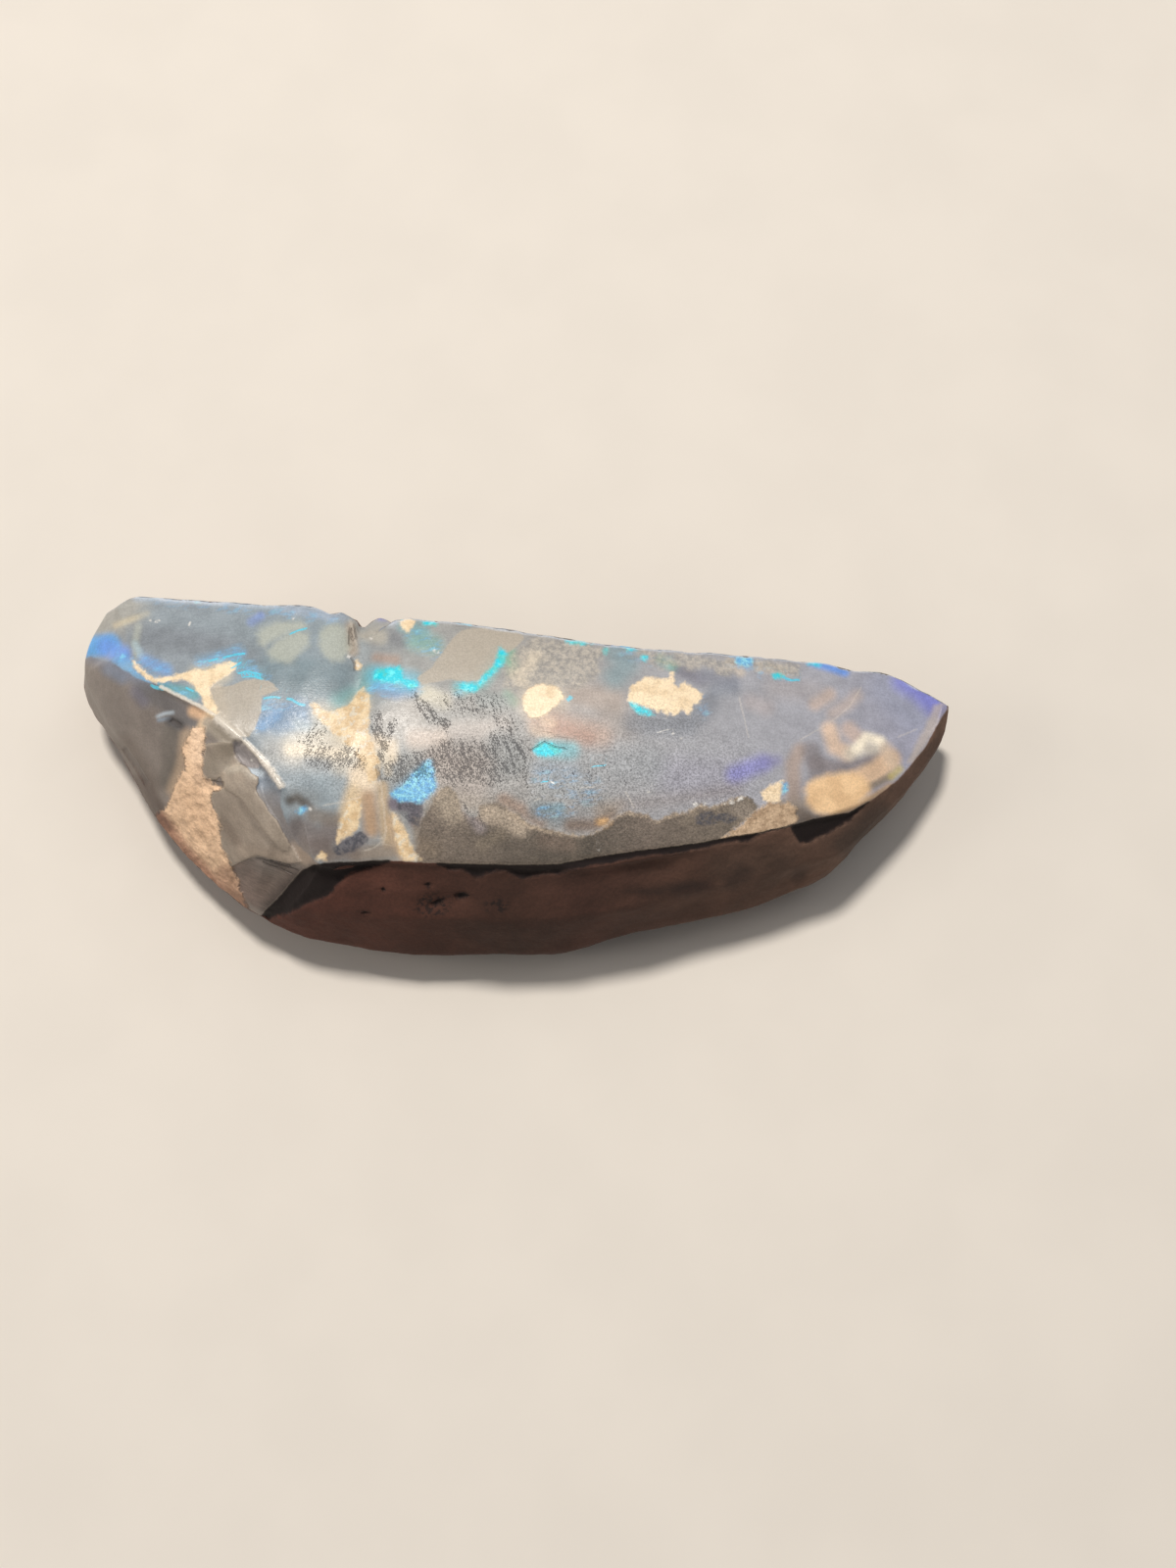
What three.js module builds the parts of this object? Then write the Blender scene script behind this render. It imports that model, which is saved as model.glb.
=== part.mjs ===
// Rough opal, ground on its faces: a long stone with a blunt end, a slanting facet beside it and a pointed tip.
// Millimetres. X runs along the stone to its tip, Y runs away from its steep long wall, Z is up.
// The origin is the middle of the stone's outline on the surface that it rests on.

import * as THREE from "three";
import { ImprovedNoise } from "three/addons/math/ImprovedNoise.js";

// How fine the surface is cut.
const STEPS_ALONG = 76;
const STEPS_ACROSS = 17;
const RINGS_RIM_TO_SHOULDER = 8;
const RINGS_SHOULDER_TO_WAIST = 4;
const RINGS_WAIST_TO_BASE = 3;
const BASE_STEPS_ACROSS = 6;

// The top face is a low dome: its rise over the straight line between its edges, per square millimetre.
const DOME_RISE = 0.033;

// The slanting facet swells a little between its ridge and its shoulder.
const FACET_SWELL = 0.22;

// Below the waist the wall turns in by this much, down to the flat base.
const BASE_INSET = 1.7;

// The middle line of the base, from the blunt end to the tip.
const SPINE_BLUNT = new THREE.Vector2(-12.6, 2.6);
const SPINE_TIP = new THREE.Vector2(13.4, 1.4);

// The back wall stands nearly upright: how far its waist stands out, and how it reaches round both ends.
const BACK_WAIST_OUT = 0.3;
const BACK_WAIST_HEIGHT = 3.0;
const BACK_SHOULDER_PART = 0.45;
const BACK_SWELL = 0.12;
const BLUNT_END_REACH = 1.0;
const TIP_REACH = 0.4;

// Sections from the tip, along the steep wall and round the blunt end: rim of the top face, shoulder, waist.
// Between the long wall and the blunt end the rim is the ridge, and the slanting facet falls to the shoulder.
const SECTIONS = [
  [[17.9, 3.1, 3.9], [18.2, 3.1, 3.5], [18.3, 3.1, 3.0]],
  [[17.4, 1.8, 4.3], [17.8, 1.7, 3.6], [17.9, 1.7, 2.9]],
  [[16.7, 0.7, 4.6], [17.0, 0.4, 3.8], [17.1, 0.4, 2.8]],
  [[15.7, -0.5, 5.0], [15.9, -0.9, 3.9], [15.9, -0.9, 2.6]],
  [[14.5, -1.5, 5.4], [14.6, -2.2, 4.1], [14.6, -2.3, 2.5]],
  [[13.1, -2.1, 5.8], [13.1, -3.4, 4.2], [13.0, -3.9, 2.5]],
  [[11.4, -2.8, 6.2], [11.3, -4.2, 4.4], [11.1, -4.8, 2.4]],
  [[9.6, -3.3, 6.5], [9.5, -4.7, 4.6], [9.2, -5.4, 2.3]],
  [[7.1, -4.0, 6.8], [7.0, -5.3, 4.8], [6.8, -6.0, 2.3]],
  [[4.6, -4.5, 7.0], [4.5, -5.9, 4.9], [4.4, -6.5, 2.2]],
  [[2.2, -4.8, 7.0], [2.1, -6.3, 4.9], [1.9, -7.1, 2.2]],
  [[-0.4, -4.75, 7.0], [-0.5, -6.4, 4.9], [-0.7, -7.25, 2.2]],
  [[-2.9, -4.6, 7.0], [-3.1, -6.3, 4.9], [-3.3, -7.2, 2.2]],
  [[-5.2, -4.55, 7.0], [-5.6, -6.1, 4.8], [-5.9, -7.0, 2.2]],
  [[-7.35, -4.7, 6.95], [-8.8, -5.8, 4.3], [-8.5, -6.5, 2.3]],
  [[-7.95, -3.1, 7.35], [-10.3, -5.45, 3.6], [-10.2, -5.8, 2.3]],
  [[-8.85, -1.5, 7.6], [-11.1, -4.9, 3.6], [-11.4, -5.0, 2.4]],
  [[-9.7, -0.6, 7.65], [-12.0, -3.9, 3.7], [-12.6, -4.0, 2.4]],
  [[-10.5, 0.3, 7.65], [-13.0, -2.8, 3.9], [-13.6, -3.0, 2.5]],
  [[-11.4, 1.1, 7.55], [-14.0, -1.6, 4.0], [-14.5, -2.0, 2.5]],
  [[-12.1, 1.7, 7.45], [-15.1, -0.2, 4.1], [-15.4, -0.7, 2.6]],
  [[-13.3, 2.5, 7.25], [-16.0, 1.1, 4.2], [-16.4, 0.8, 2.7]],
  [[-14.2, 3.0, 7.05], [-17.0, 2.3, 4.2], [-17.3, 2.1, 2.8]],
  [[-14.9, 3.5, 6.85], [-17.6, 3.3, 4.2], [-17.9, 3.1, 2.9]],
  [[-15.35, 4.1, 6.7], [-18.0, 4.3, 4.3], [-18.3, 4.2, 3.0]],
  [[-15.8, 5.5, 6.2], [-17.8, 5.5, 4.4], [-18.15, 5.6, 3.0]],
  [[-16.4, 6.7, 5.7], [-17.1, 6.9, 4.6], [-17.4, 7.1, 3.0]],
];

// Back edge of the top face, from the tip to the blunt end.
const BACK_EDGE = [
  [17.9, 3.1, 3.9],
  [16.9, 3.65, 4.25],
  [15.0, 4.15, 4.95],
  [12.1, 4.2, 5.95],
  [9.9, 4.2, 6.5],
  [6.3, 4.2, 7.15],
  [3.3, 4.5, 7.3],
  [0.0, 5.1, 7.2],
  [-4.4, 5.75, 7.0],
  [-10.0, 6.5, 6.5],
  [-12.8, 6.85, 6.1],
  [-14.6, 7.1, 5.8],
  [-15.8, 7.2, 5.6],
  [-16.4, 6.7, 5.7],
];

// What is broken out of the back edge, a dent near the tip and the notch: place along it, and depth in from it.
const BREAKS = [
  [15.2, 0.0],
  [14.2, 0.25],
  [12.8, 0.0],
  [-4.5, 0.0],
  [-4.8, 0.5],
  [-5.4, 0.8],
  [-5.9, 0.8],
  [-6.4, 0.4],
  [-6.9, 0.05],
  [-7.4, 0.2],
  [-8.0, 0.0],
];

// Small nicks along the back edge.
const NICK_DEPTH = 0.09;
const NICK_PITCH = 0.9;

// Raised and sunken plates of the slanting facet, seen from above: outline, then height over the facet.
const PLATES = [
  {
    // The large scale that stands proud in the lower half of the facet.
    outline: [[-11.5, -0.9], [-10.6, -0.7], [-10.2, -0.9], [-10.0, -1.7], [-8.7, -3.6], [-8.6, -4.3],
      [-11.2, -4.1], [-11.7, -3.2], [-12.0, -1.7]],
    height: 0.24,
  },
  {
    // The small plate above it, sunk below the ridge.
    outline: [[-12.1, 0.4], [-10.9, 0.1], [-10.6, -0.7], [-11.5, -1.0], [-12.3, -0.9]],
    height: -0.1,
  },
  {
    // The scratched step at the lower corner.
    outline: [[-11.2, -4.2], [-10.0, -4.2], [-8.4, -4.7], [-8.0, -5.0], [-9.4, -5.9], [-10.0, -5.9], [-11.3, -4.9]],
    height: -0.14,
  },
  {
    // The band of crumbly fill that runs from the ridge down to the shoulder.
    outline: [[-12.2, 1.2], [-13.1, 0.4], [-13.3, -0.7], [-13.9, -1.1], [-14.2, -2.0], [-11.8, -4.6],
      [-11.3, -4.7], [-11.6, -3.2], [-12.1, -1.6], [-12.3, -0.9], [-12.1, 0.4]],
    height: -0.07,
    crumble: 0.16,
  },
];
const PLATE_EDGE = 0.22;
const CRUMBLE_PITCH = 0.85;

// Grooves and beads that follow a line, seen from above: height (negative for a groove) and half width.
const LINES = [
  // The bright bead along the ridge.
  { path: [[-14.2, 3.0], [-12.1, 1.7], [-10.5, 0.3], [-8.85, -1.5]], height: 0.1, reach: 0.35 },
  // The chip scooped out under the ridge.
  { path: [[-10.6, -0.25], [-9.7, -1.0]], height: -0.26, reach: 0.55 },
  // The healed crack from the notch to the long wall.
  { path: [[-5.9, 5.1], [-6.1, 3.3], [-6.0, 2.2]], height: -0.2, reach: 0.42 },
  { path: [[-6.0, 2.2], [-5.4, -1.3], [-4.9, -2.4], [-4.7, -4.5]], height: -0.09, reach: 0.4 },
];

// Pits: place in space, depth and radius.
const PITS = [
  { at: [-13.8, 1.6, 6.3], depth: 0.14, reach: 0.5 },
  { at: [-7.9, -2.7, 7.5], depth: 0.16, reach: 0.45 },
  { at: [-2.9, -5.9, 5.5], depth: 0.3, reach: 0.55 },
  { at: [-1.9, -5.7, 5.8], depth: 0.26, reach: 0.45 },
  { at: [11.7, -4.4, 3.8], depth: 0.22, reach: 0.9 },
  { at: [7.4, -5.7, 3.7], depth: 0.12, reach: 0.9 },
];

// The dark seam under the rim of the long wall is worn back a little. Its lower edge wanders.
const SEAM = { from: -7.6, to: 7.5, drop: 0.75, wander: 0.3, pitch: 1.6, depth: 0.13 };

// Slow unevenness of the broken walls and of the ground faces.
const WALL_WAVE = { depth: 0.16, pitch: 2.6 };
const FACE_WAVE = { depth: 0.05, pitch: 3.4 };
const WALL_SLOPE = 0.75;

const noise = new ImprovedNoise();

function wave(point, pitch) {
  return noise.noise(point.x / pitch, point.y / pitch, point.z / pitch);
}

// A value from rows of [place, value...] that run from high to low places.
function rowAt(rows, place) {
  let i = 0;
  while (i < rows.length - 2 && rows[i + 1][0] > place) i += 1;
  const [from, to] = [rows[i], rows[i + 1]];
  const t = THREE.MathUtils.clamp((from[0] - place) / (from[0] - to[0]), 0, 1);
  return from.map((value, k) => value + (to[k] - value) * t);
}

function curveThrough(rows) {
  return new THREE.CatmullRomCurve3(rows.map((row) => new THREE.Vector3(...row)), false, "catmullrom", 0.5);
}

// The smooth curves along the steep wall and round the blunt end, one for each column of the sections.
function frontCurves() {
  return [0, 1, 2].map((column) => curveThrough(SECTIONS.map((section) => section[column])));
}

// The point of the stone's middle line that is nearest to a point of its outline.
function nearestOnSpine(point) {
  const along = SPINE_TIP.clone().sub(SPINE_BLUNT);
  const from = new THREE.Vector2(point.x, point.y).sub(SPINE_BLUNT);
  const t = THREE.MathUtils.clamp(from.dot(along) / along.lengthSq(), 0, 1);
  return SPINE_BLUNT.clone().addScaledVector(along, t);
}

// One strip of wall, from the rim down to the base edge. The swell rounds its upper part outwards.
function wallStrip(rim, shoulder, waist, swell) {
  const strip = [];
  const spine = nearestOnSpine(waist);
  const inward = new THREE.Vector2(spine.x - waist.x, spine.y - waist.y).normalize();
  for (let j = 0; j < RINGS_RIM_TO_SHOULDER; j += 1) {
    const t = j / RINGS_RIM_TO_SHOULDER;
    const point = rim.clone().lerp(shoulder, t);
    const out = swell * 4 * t * (1 - t);
    strip.push(point.add(new THREE.Vector3(-inward.x * out, -inward.y * out, out)));
  }
  for (let j = 0; j < RINGS_SHOULDER_TO_WAIST; j += 1) {
    strip.push(shoulder.clone().lerp(waist, j / RINGS_SHOULDER_TO_WAIST));
  }
  for (let j = 0; j <= RINGS_WAIST_TO_BASE; j += 1) {
    const turn = (0.5 * Math.PI * j) / RINGS_WAIST_TO_BASE;
    const inset = BASE_INSET * (1 - Math.cos(turn));
    const height = waist.z * (1 - Math.sin(turn));
    strip.push(new THREE.Vector3(waist.x + inward.x * inset, waist.y + inward.y * inset, height));
  }
  return strip;
}

// The strip of the back wall below one point of the back edge.
function backStrip(edge) {
  const x = edge.x;
  const [, broken] = rowAt(BREAKS, x);
  const nick = NICK_DEPTH * noise.noise(x / NICK_PITCH, 0.5, 0.5);
  const towardsTip = THREE.MathUtils.smoothstep(x, 14, 17.9);
  const towardsBlunt = 1 - THREE.MathUtils.smoothstep(x, -16.4, -13);
  const waistX = x + TIP_REACH * towardsTip - BLUNT_END_REACH * towardsBlunt;
  const rim = new THREE.Vector3(x, edge.y - broken + nick * (1 - towardsTip), edge.z);
  const waist = new THREE.Vector3(waistX, edge.y + BACK_WAIST_OUT * (1 - towardsTip), BACK_WAIST_HEIGHT);
  const shoulder = edge.clone().lerp(waist, BACK_SHOULDER_PART);
  shoulder.y += BACK_SWELL * (1 - towardsTip);
  return wallStrip(rim, shoulder, waist, 0);
}

// All wall strips: the front ones from the tip to the blunt end, and the back ones on the way home.
function wallStrips() {
  const [rimCurve, shoulderCurve, waistCurve] = frontCurves();
  const backEdge = curveThrough(BACK_EDGE);
  waistCurve.arcLengthDivisions = 2000;
  const front = [];
  const back = [];
  for (let k = 0; k <= STEPS_ALONG; k += 1) {
    const t = waistCurve.getUtoTmapping(k / STEPS_ALONG);
    const [rim, shoulder, waist] = [rimCurve, shoulderCurve, waistCurve].map((curve) => curve.getPoint(t));
    const onFacet = rim.x < -8 && rim.x > -15.4;
    front.push(wallStrip(rim, shoulder, waist, onFacet ? FACET_SWELL : 0));
    if (k > 0 && k < STEPS_ALONG) back.unshift(backStrip(backEdge.getPointAt(k / STEPS_ALONG)));
  }
  return front.concat(back);
}

// The whole closed surface before its relief.
function bareSurface() {
  const strips = wallStrips();
  const count = strips.length;
  const positions = [];
  const triangles = [];

  function addPoint(point) {
    positions.push(point.x, point.y, point.z);
    return positions.length / 3 - 1;
  }

  const wall = strips.map((strip) => strip.map(addPoint));
  for (let i = 0; i < count; i += 1) {
    const here = wall[i];
    const next = wall[(i + 1) % count];
    for (let j = 0; j < here.length - 1; j += 1) {
      triangles.push(here[j], next[j], next[j + 1]);
      triangles.push(here[j], next[j + 1], here[j + 1]);
    }
  }

  // Two neighbouring rows of a face. The first and last rows are a single point.
  function joinRows(a, b, facesUp) {
    const at = (row, j) => row[Math.min(j, row.length - 1)];
    const steps = Math.max(a.length, b.length) - 1;
    for (let j = 0; j < steps; j += 1) {
      const corners = [at(a, j), at(a, j + 1), at(b, j + 1), at(b, j)];
      if (!facesUp) corners.reverse();
      const [p, q, r, s] = corners;
      if (p !== q && q !== r && p !== r) triangles.push(p, q, r);
      if (p !== r && r !== s && p !== s) triangles.push(p, r, s);
    }
  }

  // A face that closes the wall at one level, in rows from the front half to the back half.
  function addFace(level, across, facesUp) {
    let before = [wall[0][level]];
    for (let k = 1; k <= STEPS_ALONG; k += 1) {
      const row = [wall[k][level]];
      if (k < STEPS_ALONG) {
        const from = strips[k][level];
        const to = strips[count - k][level];
        const rise = facesUp ? DOME_RISE * from.distanceToSquared(to) : 0;
        for (let j = 1; j < across; j += 1) {
          const v = j / across;
          const point = from.clone().lerp(to, v);
          point.z += rise * v * (1 - v);
          row.push(addPoint(point));
        }
        row.push(wall[count - k][level]);
      }
      joinRows(before, row, facesUp);
      before = row;
    }
  }

  addFace(0, STEPS_ACROSS, true);
  addFace(strips[0].length - 1, BASE_STEPS_ACROSS, false);

  const geometry = new THREE.BufferGeometry();
  geometry.setAttribute("position", new THREE.Float32BufferAttribute(positions, 3));
  geometry.setIndex(triangles);
  return geometry;
}

// Distance in plan from a point to the stretch between two others.
function distanceToStretch(x, y, [ax, ay], [bx, by]) {
  const lengthSquared = (bx - ax) ** 2 + (by - ay) ** 2;
  const t = THREE.MathUtils.clamp(((x - ax) * (bx - ax) + (y - ay) * (by - ay)) / lengthSquared, 0, 1);
  return Math.hypot(x - ax - (bx - ax) * t, y - ay - (by - ay) * t);
}

function distanceToPath(x, y, path) {
  const stretches = path.slice(1).map((to, i) => distanceToStretch(x, y, path[i], to));
  return Math.min(...stretches);
}

// How far a place lies inside an outline, in plan. Negative outside.
function depthInside(x, y, outline) {
  let inside = false;
  for (let i = 0, j = outline.length - 1; i < outline.length; j = i, i += 1) {
    const [[ax, ay], [bx, by]] = [outline[i], outline[j]];
    if (ay > y !== by > y && x < ((bx - ax) * (y - ay)) / (by - ay) + ax) inside = !inside;
  }
  const distance = distanceToPath(x, y, [...outline, outline[0]]);
  return inside ? distance : -distance;
}

// A smooth bump: one at its middle, nothing past its reach.
function bump(distance, reach) {
  const t = THREE.MathUtils.clamp(1 - distance / (2 * reach), 0, 1);
  return t * t * (3 - 2 * t);
}

function plateRelief(point) {
  let height = 0;
  for (const { outline, height: step, crumble = 0 } of PLATES) {
    const depth = depthInside(point.x, point.y, outline);
    const share = THREE.MathUtils.smoothstep(depth, -PLATE_EDGE, PLATE_EDGE);
    height += share * (step + crumble * wave(point, CRUMBLE_PITCH));
  }
  return height;
}

function lineRelief(point) {
  let height = 0;
  for (const { path, height: step, reach } of LINES) {
    height += step * bump(distanceToPath(point.x, point.y, path), reach);
  }
  return height;
}

function pitRelief(point) {
  let height = 0;
  for (const { at, depth, reach } of PITS) {
    height -= depth * bump(point.distanceTo(new THREE.Vector3(...at)), reach);
  }
  return height;
}

// The seam is measured down from the rim of the long wall.
function seamRelief(point) {
  if (point.x < SEAM.from || point.x > SEAM.to || point.y > 0) return 0;
  const rim = SECTIONS.map((section) => section[0]).filter(([, y]) => y < -2);
  const rimHeight = rowAt(rim, point.x)[2];
  const lowerEdge = SEAM.drop + SEAM.wander * wave(point, SEAM.pitch);
  const below = rimHeight - point.z;
  return below > 0.1 ? -SEAM.depth * (1 - THREE.MathUtils.smoothstep(below, lowerEdge, lowerEdge + 0.3)) : 0;
}

// Moves every point along its own normal by the relief there. The flat base stays flat.
function carve(geometry) {
  geometry.computeVertexNormals();
  const { position, normal } = geometry.attributes;
  const point = new THREE.Vector3();
  const out = new THREE.Vector3();
  for (let i = 0; i < position.count; i += 1) {
    point.fromBufferAttribute(position, i);
    out.fromBufferAttribute(normal, i);
    if (point.z < 0.01) continue;
    const isWall = out.z < WALL_SLOPE;
    const slow = isWall ? WALL_WAVE : FACE_WAVE;
    let height = slow.depth * wave(point, slow.pitch) + pitRelief(point);
    if (out.z > 0.3) height += plateRelief(point) + lineRelief(point);
    if (isWall) height += seamRelief(point);
    point.addScaledVector(out, height);
    position.setXYZ(i, point.x, point.y, Math.max(point.z, 0));
  }
}

// Moves the stone so that its outline is centred on the origin and its base lies at height zero.
function centreOnBase(geometry) {
  geometry.computeBoundingBox();
  const { min, max } = geometry.boundingBox;
  geometry.translate(-(min.x + max.x) / 2, -(min.y + max.y) / 2, -min.z);
}

const opalMaterial = new THREE.MeshStandardMaterial({ color: 0x85868c, roughness: 0.45, metalness: 0 });

const geometry = bareSurface();
carve(geometry);
centreOnBase(geometry);
geometry.computeVertexNormals();

const opal = new THREE.Mesh(geometry, opalMaterial);
opal.name = "opal";

const group = new THREE.Group();
group.add(opal);

export default group;
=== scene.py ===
# The looks of a rough opal: fine relief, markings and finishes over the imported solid, in metres.

import math

import bmesh
import bpy
import numpy as np
from mathutils import Matrix, Vector, noise


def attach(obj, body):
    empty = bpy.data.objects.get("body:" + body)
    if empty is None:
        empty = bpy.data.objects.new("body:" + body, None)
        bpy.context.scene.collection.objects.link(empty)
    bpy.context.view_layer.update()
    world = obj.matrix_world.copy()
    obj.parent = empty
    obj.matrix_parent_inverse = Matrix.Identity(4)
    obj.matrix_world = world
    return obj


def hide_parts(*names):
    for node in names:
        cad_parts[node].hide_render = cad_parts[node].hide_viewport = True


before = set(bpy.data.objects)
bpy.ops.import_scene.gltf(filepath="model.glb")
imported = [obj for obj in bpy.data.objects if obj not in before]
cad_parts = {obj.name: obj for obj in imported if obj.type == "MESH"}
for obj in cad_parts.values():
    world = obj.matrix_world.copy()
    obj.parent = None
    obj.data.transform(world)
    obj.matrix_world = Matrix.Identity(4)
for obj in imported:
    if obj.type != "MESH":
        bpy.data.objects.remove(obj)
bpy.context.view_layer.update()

MM = 0.001

# The camera. Outlines further down are given in the pixels of its picture, 1200 wide and 1600 high.
PICTURE_WIDTH = 1200
PICTURE_HEIGHT = 1600
FOCAL_PX = 1800.0
SENSOR_MM = 36.0
ELEVATION = math.radians(73.4)
DISTANCE = 76.7 * MM
LOOK_AT = np.array((3.1, 0.59, 0.0)) * MM
RIGHT = np.array((1.0, 0.0, 0.0))
FORWARD = np.array((0.0, math.cos(ELEVATION), -math.sin(ELEVATION)))
UP = np.array((0.0, math.sin(ELEVATION), math.cos(ELEVATION)))
EYE = LOOK_AT - FORWARD * DISTANCE
NEAR = 0.005
FAR = 10.0
# What a millimetre of the stone's face measures in the picture.
PX_PER_MM = 24.5


def srgb(red, green, blue):
    """A colour given in the usual 0 to 255 numbers, as the linear light that the shader wants."""
    def linear(value):
        value = value / 255
        return value / 12.92 if value <= 0.04045 else ((value + 0.055) / 1.055) ** 2.4
    return (linear(red), linear(green), linear(blue))


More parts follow.
